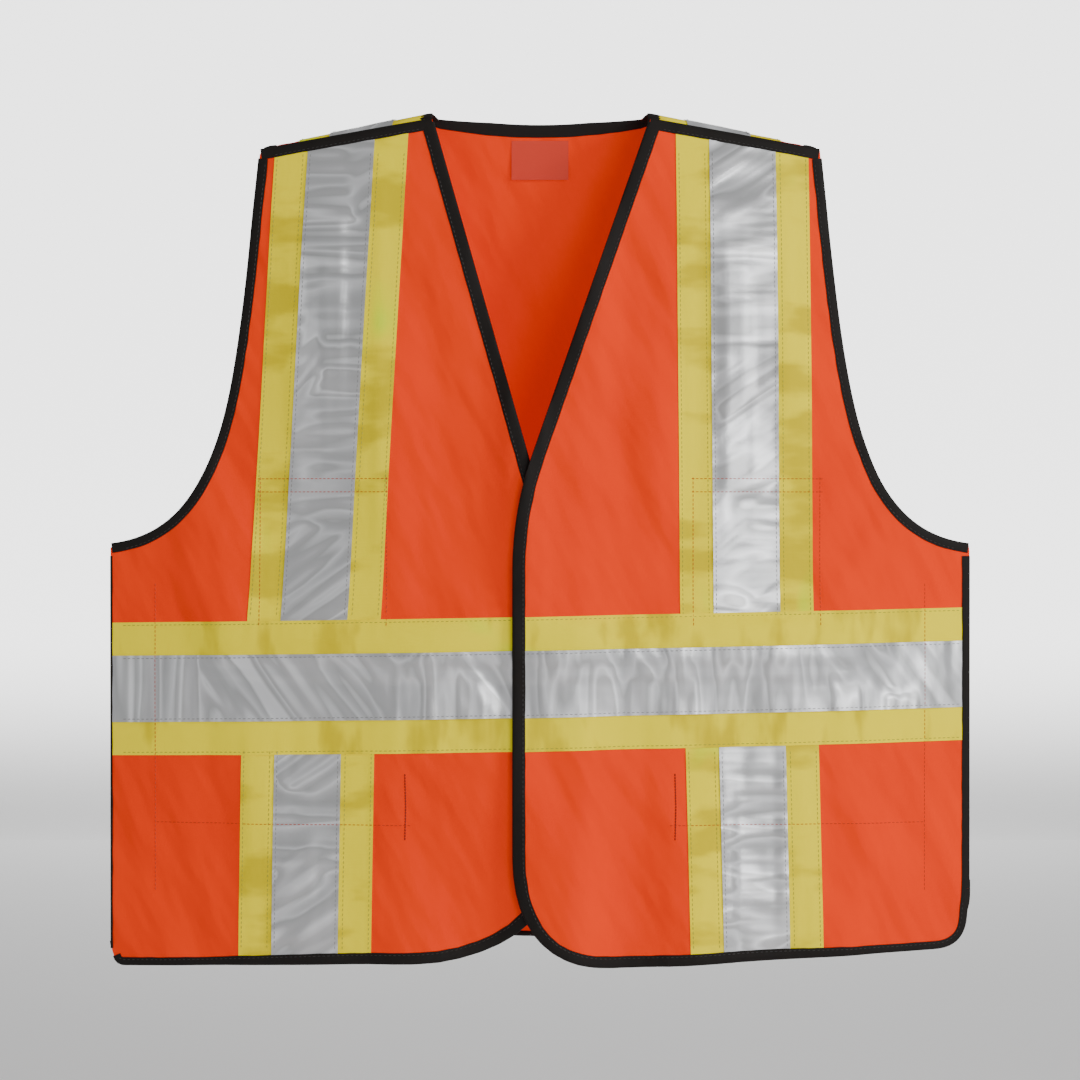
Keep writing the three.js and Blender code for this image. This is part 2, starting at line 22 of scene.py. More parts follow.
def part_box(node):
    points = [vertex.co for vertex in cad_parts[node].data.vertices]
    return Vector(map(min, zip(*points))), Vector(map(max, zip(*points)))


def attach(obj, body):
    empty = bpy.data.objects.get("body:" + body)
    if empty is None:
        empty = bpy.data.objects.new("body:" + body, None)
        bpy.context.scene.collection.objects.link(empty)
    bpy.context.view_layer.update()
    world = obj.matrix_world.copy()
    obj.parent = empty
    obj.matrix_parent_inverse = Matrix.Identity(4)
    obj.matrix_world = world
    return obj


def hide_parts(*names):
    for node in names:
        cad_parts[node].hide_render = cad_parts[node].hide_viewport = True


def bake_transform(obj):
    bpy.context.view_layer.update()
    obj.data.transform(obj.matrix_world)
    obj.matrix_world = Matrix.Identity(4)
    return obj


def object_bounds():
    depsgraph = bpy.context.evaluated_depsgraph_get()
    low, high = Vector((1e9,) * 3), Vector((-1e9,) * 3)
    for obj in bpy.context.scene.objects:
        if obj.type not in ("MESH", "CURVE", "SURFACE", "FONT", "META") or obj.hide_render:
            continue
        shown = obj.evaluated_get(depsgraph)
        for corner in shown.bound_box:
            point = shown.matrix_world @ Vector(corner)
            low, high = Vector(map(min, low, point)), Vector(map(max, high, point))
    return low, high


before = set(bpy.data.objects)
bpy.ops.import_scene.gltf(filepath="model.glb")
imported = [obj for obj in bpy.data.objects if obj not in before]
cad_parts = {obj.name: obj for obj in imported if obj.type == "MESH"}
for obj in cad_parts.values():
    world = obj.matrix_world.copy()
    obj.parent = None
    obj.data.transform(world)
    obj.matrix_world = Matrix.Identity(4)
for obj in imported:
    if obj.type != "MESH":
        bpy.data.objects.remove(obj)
CAD_BOX = [list(corner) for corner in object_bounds()]

MM = 0.001
Offset = Union[float, Callable[[np.ndarray], np.ndarray]]
Number = Union[float, "Wire"]

log = logging.getLogger("vest")


class Side(Enum):
    """The wearer's left or right, with the sign of X there and the word used in names."""

    LEFT = (1, "left")
    RIGHT = (-1, "right")

    @property
    def sign(self) -> int:
        """The sign of X on this side."""
        return self.value[0]

    @property
    def word(self) -> str:
        """The word that names of this side's pieces start with."""
        return self.value[1]


class Slot(Enum):
    """The record's material slots."""

    ORANGE = "orange_fabric"
    LIME = "lime_tape"
    SILVER = "silver_tape"
    BLACK = "black_binding"
    CLOSURE = "hook_and_loop"
    LABEL = "label"


# ---- shaders ---------------------------------------------------------------------------------


@dataclass(frozen=True)
class Wire:
    """A shader socket that takes part in Python expressions."""

    tree: "ShaderTree"
    socket: bpy.types.NodeSocket

    def __add__(self, other: Number) -> "Wire":
        """The sum of two values."""
        return self.tree.maths("ADD", self, other)

    def __radd__(self, other: float) -> "Wire":
        """The sum of two values."""
        return self.tree.maths("ADD", other, self)

    def __sub__(self, other: Number) -> "Wire":
        """The difference of two values."""
        return self.tree.maths("SUBTRACT", self, other)

    def __rsub__(self, other: float) -> "Wire":
        """The difference of two values."""
        return self.tree.maths("SUBTRACT", other, self)

    def __mul__(self, other: Number) -> "Wire":
        """The product of two values."""
        return self.tree.maths("MULTIPLY", self, other)

    def __rmul__(self, other: float) -> "Wire":
        """The product of two values."""
        return self.tree.maths("MULTIPLY", other, self)


class ShaderTree:
    """One material's node tree, built from expressions."""

    def __init__(self, name: str) -> None:
        """Start an empty material.

        Args:
            name: the material's name.
        """
        self.material = bpy.data.materials.new(name)
        self.material.use_nodes = True
        self.nodes = self.material.node_tree.nodes
        self.nodes.clear()

    def node(self, kind: str, settings: dict | None = None, inputs: dict | None = None) -> bpy.types.Node:
        """Create any node.

        Args:
            kind: the node's type.
            settings: attributes set before the sockets, where stops fills a colour ramp.
            inputs: values or wires by socket name or number.

        Returns:
            The node.
        """
        made = self.nodes.new(kind)
        for key, value in (settings or {}).items():
            if key == "stops":
                self._fill_ramp(made.color_ramp, value)
            else:
                setattr(made, key, value)
        for key, value in (inputs or {}).items():
            if isinstance(value, Wire):
                self.material.node_tree.links.new(value.socket, made.inputs[key])
            else:
                made.inputs[key].default_value = value
        return made

    @staticmethod
    def _fill_ramp(ramp: bpy.types.ColorRamp, stops: list) -> None:
        """Give a colour ramp its stops, each a place and a colour."""
        while len(ramp.elements) < len(stops):
            ramp.elements.new(0.5)
        for element, (place, colour) in zip(ramp.elements, stops):
            element.position = place
            element.color = colour

    def wire(self, made: bpy.types.Node, output: str | int = 0) -> Wire:
        """An output of a node, as a wire."""
        return Wire(self, made.outputs[output])

    def maths(self, operation: str, *values: Number) -> Wire:
        """A Math node on one to three values."""
        inputs = dict(enumerate(values))
        return self.wire(self.node("ShaderNodeMath", {"operation": operation}, inputs))

    def place(self, turn: float = 0.0, scale: tuple = (1, 1, 1)) -> Wire:
        """Object coordinates, turned about Y and then scaled.

        Args:
            turn: the turn in radians.
            scale: how much each axis is stretched.

        Returns:
            The coordinates.
        """
        source = self.wire(self.node("ShaderNodeTexCoord"), "Object")
        turned = self.node(
            "ShaderNodeMapping", {}, {"Vector": source, "Rotation": (0, turn, 0)}
        )
        scaled = self.node(
            "ShaderNodeMapping", {}, {"Vector": self.wire(turned), "Scale": scale}
        )
        return self.wire(scaled)

    def noise(self, where: Wire, scale: float, detail: float = 3.0, rough: float = 0.5) -> Wire:
        """Noise from 0 to 1 at a scale in turns a metre."""
        made = self.node(
            "ShaderNodeTexNoise", {},
            {"Vector": where, "Scale": scale, "Detail": detail, "Roughness": rough},
        )
        return self.wire(made, "Fac")

    def ribs(self, where: Wire, pitch: float, direction: str) -> Wire:
        """Even ribs of a pitch in metres, across one axis."""
        made = self.node(
            "ShaderNodeTexWave", {"bands_direction": direction, "wave_profile": "SIN"},
            {"Vector": where, "Scale": math.pi / (10 * pitch), "Distortion": 0.0},
        )
        return self.wire(made, "Fac")

    def ramp(self, value: Wire, stops: list, interpolation: str = "EASE") -> Wire:
        """A colour that follows a value."""
        made = self.node("ShaderNodeValToRGB", {"stops": stops}, {"Fac": value})
        made.color_ramp.interpolation = interpolation
        return self.wire(made, "Color")

    def mix(self, share: Number, first: tuple | Wire, second: tuple | Wire) -> Wire:
        """Two colours mixed."""
        made = self.node(
            "ShaderNodeMix", {"data_type": "RGBA", "clamp_factor": True},
            {0: share, 6: first, 7: second},
        )
        return self.wire(made, 2)

    def bump(self, height: Wire, strength: float, distance: float, normal: Wire | None = None) -> Wire:
        """A bumped normal.

        Args:
            height: the height from 0 to 1.
            strength: the bump's strength.
            distance: the height of 1, in metres.
            normal: the normal that it is laid over.

        Returns:
            The normal.
        """
        inputs = {"Height": height, "Strength": strength, "Distance": distance}
        if normal is not None:
            inputs["Normal"] = normal
        return self.wire(self.node("ShaderNodeBump", {}, inputs))

    def finish(self, inputs: dict) -> bpy.types.Material:
        """Close the tree with one Principled shader.

        Args:
            inputs: the shader's values and wires by socket name.

        Returns:
            The material.
        """
        shader = self.node("ShaderNodeBsdfPrincipled", {}, inputs)
        self.node("ShaderNodeOutputMaterial", {}, {"Surface": self.wire(shader)})
        return self.material


def rgba(red: float, green: float, blue: float) -> tuple:
    """An opaque colour."""
    return (red, green, blue, 1.0)


@dataclass(frozen=True)
class KnitFinish:
    """Fluorescent knitted polyester, with a painted glow: an emission gives it a little light of its own."""

    name: str = "orange_knit"
    bright: tuple = rgba(0.98, 0.052, 0.002)
    deep: tuple = rgba(0.74, 0.027, 0.002)
    glow: float = 0.15
    wale_pitch: float = 1.3 * MM

    def material(self) -> bpy.types.Material:
        """Build the material.

        Returns:
            The knitted cloth's material.
        """
        tree = ShaderTree(self.name)
        where = tree.place()
        patches = tree.noise(where, 9.0, 4.0, 0.6)
        fibre = tree.noise(where, 900.0, 2.0)
        colour = tree.mix(patches * 0.7 + fibre * 0.3, self.deep, self.bright)
        wales = tree.ribs(where, self.wale_pitch, "X")
        courses = tree.ribs(where, self.wale_pitch, "Z")
        folds = tree.noise(tree.place(0.45, (1.7, 1, 0.55)), 12.0, 2.5, 0.5)
        soft = tree.bump(folds, 1.0, 15 * MM)
        normal = tree.bump(wales * courses * 0.8 + fibre * 0.2, 0.25, 0.12 * MM, soft)
        return tree.finish({
            "Base Color": colour, "Roughness": 0.72, "Normal": normal,
            "Specular IOR Level": 0.04,
            # Painted glow: an orange emission, so the cloth gives off a little light of its own for its
            # fluorescent brightness.
            "Emission Color": rgba(1.0, 0.040, 0.0), "Emission Strength": self.glow,
        })


@dataclass(frozen=True)
class LimeFinish:
    """Fluorescent lime tape with a faint painted glow, ribbed across its run and yellower where it is
    creased.
    """

    name: str
    run_angle: float
    bright: tuple = rgba(0.93, 0.76, 0.001)
    deep: tuple = rgba(0.64, 0.49, 0.001)
    green: tuple = rgba(0.55, 0.88, 0.001)
    rib_pitch: float = 1.1 * MM

    def material(self) -> bpy.types.Material:
        """Build the material.

        Returns:
            The lime tape's material.
        """
        tree = ShaderTree(self.name)
        where = tree.place(self.run_angle)
        along = tree.place(self.run_angle, (1.0, 1.0, 0.45))
        patches = tree.noise(tree.place(self.run_angle, (0.35, 1.0, 1.0)), 34.0, 3.0, 0.5)
        worn = tree.ramp(patches, [(0.36, rgba(0, 0, 0)), (0.52, rgba(1, 1, 1))])
        spots = tree.ramp(tree.noise(along, 17.0, 2.0), [(0.60, rgba(0, 0, 0)), (0.76, rgba(1, 1, 1))])
        colour = tree.mix(spots, tree.mix(worn, self.deep, self.bright), self.green)
        ribs = tree.ribs(where, self.rib_pitch, "Z")
        grain = tree.noise(where, 1200.0, 2.0)
        creases = tree.bump(tree.noise(along, 40.0, 3.0, 0.5), 0.4, 3 * MM)
        normal = tree.bump(ribs * 0.7 + grain * 0.3, 0.3, 0.12 * MM, creases)
        return tree.finish({
            "Base Color": colour, "Roughness": 0.62, "Normal": normal,
            "Specular IOR Level": 0.08,
            # Painted glow: a weak yellow emission, so the tape gives off a little light of its own for its
            # fluorescent brightness.
            "Emission Color": rgba(0.90, 0.80, 0.0), "Emission Strength": 0.10,
        })


@dataclass(frozen=True)
class SilverFinish:
    """Glass-bead reflective tape: grey, with painted highlights and painted shade in lines across its run,
    and bumped creases.
    """

    name: str
    run_angle: float
    grey: tuple = rgba(0.36, 0.37, 0.37)
    # The near-white colour of the painted highlight lines.
    pearl: tuple = rgba(0.94, 0.95, 0.97)

    def material(self) -> bpy.types.Material:
        """Build the material.

        Returns:
            The reflective tape's material.
        """
        tree = ShaderTree(self.name)
        level = tree.noise(tree.place(self.run_angle, (0.07, 1.0, 1.0)), 44.0, 1.6, 0.45)
        slanted = tree.noise(tree.place(self.run_angle + 0.62, (0.06, 1.0, 1.0)), 40.0, 1.8, 0.45)
        region = tree.noise(tree.place(), 8.5, 1.0)
        share = tree.wire(tree.node(
            "ShaderNodeMapRange", {"interpolation_type": "SMOOTHSTEP"},
            {"Value": region, "From Min": 0.47, "From Max": 0.56},
        ))
        folds = level * (1 - share) + slanted * share
        # Painted highlights and painted shade: near-white lines beside darker grey along the folds pattern,
        # as creases catching and losing the light.
        painted_highlights_and_shade = tree.ramp(folds, [
            (0.32, self.pearl), (0.38, self.grey), (0.44, rgba(0.48, 0.49, 0.50)),
            (0.495, rgba(0.80, 0.81, 0.83)), (0.53, rgba(0.40, 0.41, 0.41)), (0.57, rgba(0.50, 0.50, 0.51)),
            (0.615, self.pearl), (0.65, rgba(0.44, 0.44, 0.44)), (0.72, rgba(0.54, 0.54, 0.55)),
        ], "LINEAR")
        patches = tree.noise(tree.place(self.run_angle, (0.5, 1.0, 1.0)), 14.0, 2.0)
        beads = tree.noise(tree.place(), 2600.0, 1.0)
        toned = tree.mix(patches * 0.7, painted_highlights_and_shade, rgba(0.56, 0.56, 0.57))
        colour = tree.mix(beads * 0.12, toned, rgba(0.9, 0.9, 0.92))
        creases = tree.bump(folds, 0.8, 7 * MM)
        normal = tree.bump(beads, 0.2, 0.08 * MM, creases)
        return tree.finish({
            "Base Color": colour, "Roughness": 0.26 + 0.12 * patches, "Normal": normal,
            "Metallic": 0.62, "Specular IOR Level": 0.6, "Coat Weight": 0.1,
        })


@dataclass(frozen=True)
class BindingFinish:
    """Black folded binding with a fine twill and a little dust on its ridges."""

    name: str = "binding_twill"
    base: tuple = rgba(0.005, 0.004, 0.0035)
    worn: tuple = rgba(0.022, 0.016, 0.013)

    def material(self) -> bpy.types.Material:
        """Build the material.

        Returns:
            The binding's material.
        """
        tree = ShaderTree(self.name)
        twill = tree.ribs(tree.place(0.785), 0.9 * MM, "X")
        dust = tree.noise(tree.place(), 60.0, 4.0, 0.6)
        colour = tree.mix(dust * twill, self.base, self.worn)
        normal = tree.bump(twill, 0.5, 0.15 * MM)
        return tree.finish({
            "Base Color": colour, "Roughness": 0.6 + 0.2 * dust, "Normal": normal,
            "Specular IOR Level": 0.2,
        })


@dataclass(frozen=True)
class NapFinish:
    """Hook-and-loop strip: stiff hooks in rows, or a felted loop pile."""

    name: str
    pile: float
    base: tuple = rgba(0.014, 0.013, 0.013)
    tips: tuple = rgba(0.055, 0.052, 0.050)

    def material(self) -> bpy.types.Material:
        """Build the material.

        Returns:
            The strip's material.
        """
        tree = ShaderTree(self.name)
        where = tree.place()
        rows = tree.ribs(where, 1.6 * MM, "X") * tree.ribs(where, 1.6 * MM, "Z")
        felt = tree.noise(where, 700.0, 4.0, 0.7)
        nap = rows * (1 - self.pile) + felt * self.pile
        colour = tree.mix(nap, self.base, self.tips)
        normal = tree.bump(nap, 0.9, 0.6 * MM)
        return tree.finish({
            "Base Color": colour, "Roughness": 0.8, "Normal": normal, "Sheen Weight": 0.3,
        })


@dataclass(frozen=True)
class ThreadFinish:
    """Twisted polyester thread in one colour."""

    name: str
    colour: tuple

    def material(self) -> bpy.types.Material:
        """Build the material.

        Returns:
            The thread's material.
        """
        tree = ShaderTree(self.name)
        twist = tree.ribs(tree.place(0.6), 0.5 * MM, "X")
        darker = tuple(0.55 * part for part in self.colour[:3]) + (1.0,)
        return tree.finish({
            "Base Color": tree.mix(twist, darker, self.colour), "Roughness": 0.5,
            "Normal": tree.bump(twist, 0.4, 0.1 * MM),
        })


@dataclass(frozen=True)
class LabelFinish:
    """Blank woven satin label."""

    name: str = "blank_label"

    def material(self) -> bpy.types.Material:
        """Build the material.

        Returns:
            The label's material.
        """
        tree = ShaderTree(self.name)
        weave = tree.ribs(tree.place(), 0.8 * MM, "X") * tree.ribs(tree.place(), 0.6 * MM, "Z")
        colour = tree.mix(weave, rgba(0.66, 0.026, 0.002), rgba(0.80, 0.036, 0.002))
        return tree.finish({
            "Base Color": colour, "Roughness": 0.5, "Normal": tree.bump(weave, 0.4, 0.1 * MM),
        })


class Grain(Enum):
    """Which way a tape runs, as the turn that brings its run upright."""

    UPRIGHT = 0.0
    LEVEL = math.pi / 2
    LEANING_LEFT = 0.64
    LEANING_RIGHT = -0.64


class Wardrobe:
    """All finishes, each made once."""

    def __init__(self) -> None:
        """Make every material."""
        self.knit = KnitFinish().material()
        self.binding = BindingFinish().material()
        self.hooks = NapFinish("hook_strip", 0.25).material()
        self.loops = NapFinish("loop_strip", 0.9).material()
        self.label = LabelFinish().material()
        self.lime = {
            grain: LimeFinish(f"lime_{grain.name.lower()}", grain.value).material() for grain in Grain
        }
        self.silver = {
            grain: SilverFinish(f"silver_{grain.name.lower()}", grain.value).material() for grain in Grain
        }
        self.orange_thread = ThreadFinish("orange_thread", rgba(0.66, 0.045, 0.006)).material()
        self.dark_thread = ThreadFinish("dark_red_thread", rgba(0.20, 0.008, 0.003)).material()
        # Dark olive thread: the lime tape's seams, and painted shadow lines beside the silver's edges.
        self.lime_thread = ThreadFinish("lime_thread", rgba(0.50, 0.47, 0.05)).material()
        self.silver_thread = ThreadFinish("silver_thread", rgba(0.33, 0.33, 0.33)).material()
        self.black_thread = ThreadFinish("black_thread", rgba(0.03, 0.028, 0.028)).material()


# ---- flat outlines ---------------------------------------------------------------------------


def points(*pairs: tuple) -> np.ndarray:
    """Flat places as an array, from pairs of x and height."""
    return np.array(pairs, dtype=float)


def mirrored(edge: np.ndarray) -> np.ndarray:
    """The edge on the other side, still with the cloth on its left."""
    return (edge * (-1, 1))[::-1]


def bezier(controls: np.ndarray, steps: int) -> np.ndarray:
    """A Bezier curve through its first and last control.

    Args:
        controls: three or four control places.
        steps: the number of steps.

    Returns:
        The curve's places.
    """
    degree = len(controls) - 1
    t = np.linspace(0, 1, steps + 1)[:, None]
    terms = [
        math.comb(degree, i) * t**i * (1 - t) ** (degree - i) * controls[i] for i in range(degree + 1)
    ]
    return sum(terms)


def eased(corners: np.ndarray, ease: list[float]) -> np.ndarray:
    """An open edge through corners, where each inner corner is rounded over its own distance.

    Args:
        corners: the corners.
        ease: for each inner corner, how far from it its curve starts and ends.

    Returns:
        The edge's places.
    """
    pieces = [corners[:1]]
    for i, reach in enumerate(ease, start=1):
        to_before = corners[i - 1] - corners[i]
        to_after = corners[i + 1] - corners[i]
        start = corners[i] + to_before * reach / np.linalg.norm(to_before)
        end = corners[i] + to_after * reach / np.linalg.norm(to_after)
        pieces.append(bezier(np.array([start, corners[i], end]), 12))
    pieces.append(corners[-1:])
    return np.concatenate(pieces)


def spaced(edge: np.ndarray, pitch: float) -> np.ndarray:
    """The edge with places an even distance apart.

    Args:
        edge: the places of an open edge.
        pitch: about how far apart the new places are.

    Returns:
        The new places, with the old ends kept.
    """
    gaps = np.linalg.norm(np.diff(edge, axis=0), axis=1)
    edge = edge[np.concatenate([[True], gaps > 1e-7])]
    along = np.concatenate([[0], np.cumsum(gaps[gaps > 1e-7])])
    count = max(int(round(along[-1] / pitch)), 1) + 1
    wanted = np.linspace(0, along[-1], count)
    return np.stack([np.interp(wanted, along, edge[:, k]) for k in (0, 1)], axis=1)


def stretch(edge: np.ndarray, start: float, end: float) -> np.ndarray:
    """The part of an edge between two distances along it.

    Args:
        edge: the places of the edge.
        start: where the part starts, from the edge's start.
        end: where it ends, counted back from the edge's end if it is negative.

    Returns:
        The part's places.
    """
    gaps = np.linalg.norm(np.diff(edge, axis=0), axis=1)
    along = np.concatenate([[0], np.cumsum(gaps)])
    last = end if end > 0 else along[-1] + end
    inside = along[(along > start + 1e-5) & (along < last - 1e-5)]
    wanted = np.concatenate([[start], inside, [last]])
    return np.stack([np.interp(wanted, along, edge[:, k]) for k in (0, 1)], axis=1)


def inward_normals(edge: np.ndarray) -> np.ndarray:
    """Unit vectors square to an edge, towards the cloth on its left.

    Args:
        edge: the places of the edge.

    Returns:
        One vector for each place.
    """
    along = np.gradient(edge, axis=0)
    along /= np.linalg.norm(along, axis=1)[:, None]
    return np.stack([-along[:, 1], along[:, 0]], axis=1)


def shifted(edge: np.ndarray, distance: float) -> np.ndarray:
    """The edge moved square to itself, towards the cloth."""
    return edge + inward_normals(edge) * distance


@dataclass
class Region:
    """A flat mesh: its places and its faces."""

    places: np.ndarray
    faces: list

    def rim(self) -> list[tuple[int, int]]:
        """The border as directed edges.

        Returns:
            Pairs of places, each in the order that its own face has.
        """
        seen = {}
        for face in self.faces:
            for a, b in zip(face, (*face[1:], face[0])):
                seen[(a, b)] = True
        return [(a, b) for a, b in seen if (b, a) not in seen]


def filled(outline: np.ndarray, pitch: float) -> Region:
    """Fill a closed outline with triangles of about one size.

    Args:
        outline: the places of the outline, with the inside on the left, not repeated at its end.
        pitch: the triangles' edge length.

    Returns:
        The filled region.
    """
    border = spaced(np.concatenate([outline, outline[:1]]), pitch)[:-1]
    low, high = border.min(axis=0), border.max(axis=0)
    rows = np.arange(low[1], high[1], pitch * 0.866)
    lattice = np.concatenate([
        np.stack([x, np.full_like(x, h)], axis=1)
        for i, h in enumerate(rows)
        for x in [np.arange(low[0] + (i % 2) * pitch / 2, high[0], pitch)]
    ])
    start, end = border, np.roll(border, -1, axis=0)
    inside = np.zeros(len(lattice), dtype=bool)
    near = np.zeros(len(lattice), dtype=bool)
    for (x0, h0), (x1, h1) in zip(start, end):
        crosses = (lattice[:, 1] > h0) != (lattice[:, 1] > h1)
        if h0 != h1:
            meet = x0 + (lattice[:, 1] - h0) * (x1 - x0) / (h1 - h0)
            inside ^= crosses & (lattice[:, 0] < meet)
        near |= (lattice[:, 0] - x0) ** 2 + (lattice[:, 1] - h0) ** 2 < (0.62 * pitch) ** 2
    kept = lattice[inside & ~near]
    count = len(border)
    everything = [Vector(p) for p in np.concatenate([border, kept])]
    loop = [(i, (i + 1) % count) for i in range(count)]
    places, _, faces, *_ = delaunay_2d_cdt(everything, loop, [], 1, 1e-7)
    return Region(np.array([tuple(p) for p in places]), [tuple(face) for face in faces])


def grid(rows: list[np.ndarray]) -> Region:
    """A region of quads.

    Args:
        rows: rows of places, each to the left of the one before it.

    Returns:
        The region.
    """
    across, along = len(rows), len(rows[0])
    faces = [
        (j * along + i, j * along + i + 1, (j + 1) * along + i + 1, (j + 1) * along + i)
        for j in range(across - 1)
        for i in range(along - 1)
    ]
    return Region(np.concatenate(rows), faces)


def ribbon(path: np.ndarray, width: float, pitch: float) -> Region:
    """A strip of one width along a path.

    Args:
        path: the strip's middle line.
        width: the strip's width.
        pitch: the size of its cells.

    Returns:
        The strip.
    """
    line = spaced(path, pitch)
    columns = max(int(round(width / pitch)), 2)
    return grid([shifted(line, d) for d in np.linspace(-width / 2, width / 2, columns + 1)])


def smooth_step(value: np.ndarray) -> np.ndarray:
    """0 below 0, 1 above 1 and an even curve between."""
    share = np.clip(value, 0, 1)
    return share * share * (3 - 2 * share)


def crumple(flat: np.ndarray, turn: float, size: float, seed: float) -> np.ndarray:
    """Sharp-crested creases across a tape's run, from 0 to about 1.

    Args:
        flat: flat places.
        turn: the angle between the tape's run and upright.
        size: how far apart creases are.
        seed: moves the pattern, so that no two tapes are creased alike.

    Returns:
        The height at each place.
    """
    c, s = math.cos(turn), math.sin(turn)
    heights = np.empty(len(flat))
    for i, (x, h) in enumerate(flat):
        across, along = c * x - s * h, s * x + c * h
        slide = noise.noise(Vector((across * 14, along * 9, seed)))
        tilt = along + 0.28 * across + 0.010 * slide
        cell = Vector((across * 0.26 / size + 0.4 * slide, tilt / size, seed))
        near = noise.voronoi(cell)[0][0]
        ridge = noise.noise(Vector((across * 0.5 / size, (along - 0.3 * across) / size + slide, seed + 3)))
        small = noise.noise(Vector((across * 1.4 / size, along * 3.0 / size, seed + 7)))
        heights[i] = 0.70 * near + 0.35 * (1 - 2.4 * abs(ridge)) + 0.12 * small
    return np.clip(heights, -0.2, 1.2)


# ---- the body's shape ------------------------------------------------------------------------


@dataclass(frozen=True)
class Body:
    """Sizes of the vest, with the side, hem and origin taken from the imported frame."""

    half_width: float
    origin_height: float
    neck_height: float = 0.655
    neck_half_width: float = 0.079
    neck_dip: float = 0.007
    shoulder_half_width: float = 0.214
    shoulder_drop: float = 0.027
    underarm_height: float = 0.325
    back_hem_height: float = 0.012
    half_depth: float = 0.038
    shoulder_inset: float = 0.022
    inset_power: float = 1.6
    standoff: float = 4.4 * MM
    over_raise: float = 5.6 * MM
    raise_start: float = 0.024
    raise_end: float = 0.066
    tab_depth: float = 3.8 * MM
    arch_rise: float = 4.5 * MM
    cloth: float = 0.6 * MM
    lime_width: float = 0.1016
    silver_width: float = 0.0508
    band_height: float = 0.220
    band_tilt: float = 0.018

    @classmethod
    def from_frame(cls) -> "Body":
        """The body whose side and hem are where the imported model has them."""
        _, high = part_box("back_panel")
        low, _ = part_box("left_front_panel")
        return cls(half_width=high[0], origin_height=0.003 - low[2])

    @property
    def shoulder_height(self) -> float:
        """The height of the shoulder's outer end."""
        return self.neck_height - self.shoulder_drop

    def bulge(self, x: np.ndarray) -> np.ndarray:
        """How far a sheet stands out at x."""
        share = np.minimum(np.abs(x) / self.half_width, 1)
        return self.half_depth * (1 - share * share)

    def inset(self, h: np.ndarray) -> np.ndarray:
        """How far a sheet comes in towards the shoulder."""
        share = np.maximum((h - self.underarm_height) / (self.neck_height - self.underarm_height), 0)
        return self.shoulder_inset * share**self.inset_power

    def crest(self, x: np.ndarray) -> np.ndarray:
        """The height of the shoulder's crest."""
        span = self.shoulder_half_width - self.neck_half_width
        share = np.maximum((np.abs(x) - self.neck_half_width) / span, 0)
        return self.neck_height - self.shoulder_drop * share

    def armhole(self, bottom_x: float, top_height: float, depth: float, tuck: float = 0.0) -> np.ndarray:
        """An armhole on the left, from the underarm up.

        Args:
            bottom_x: where it starts.
            top_height: its height at the shoulder.
            depth: how much deeper than plain it is cut.
            tuck: how far inside the shoulder's end it meets it.

        Returns:
            The edge's places.
        """
        width = bottom_x - self.shoulder_half_width
        height = top_height - self.underarm_height
        controls = points(
            (bottom_x, self.underarm_height),
            (self.shoulder_half_width + width * (0.22 - depth), self.underarm_height + height * 0.035),
            (self.shoulder_half_width + width * (0.155 - depth), self.underarm_height + height * 0.38),
            (self.shoulder_half_width - tuck, top_height),
        )
        return bezier(controls, 60)

    def band_centre(self, x: np.ndarray) -> np.ndarray:
        """The height of the waist band's middle."""
        return self.band_height + self.band_tilt * x


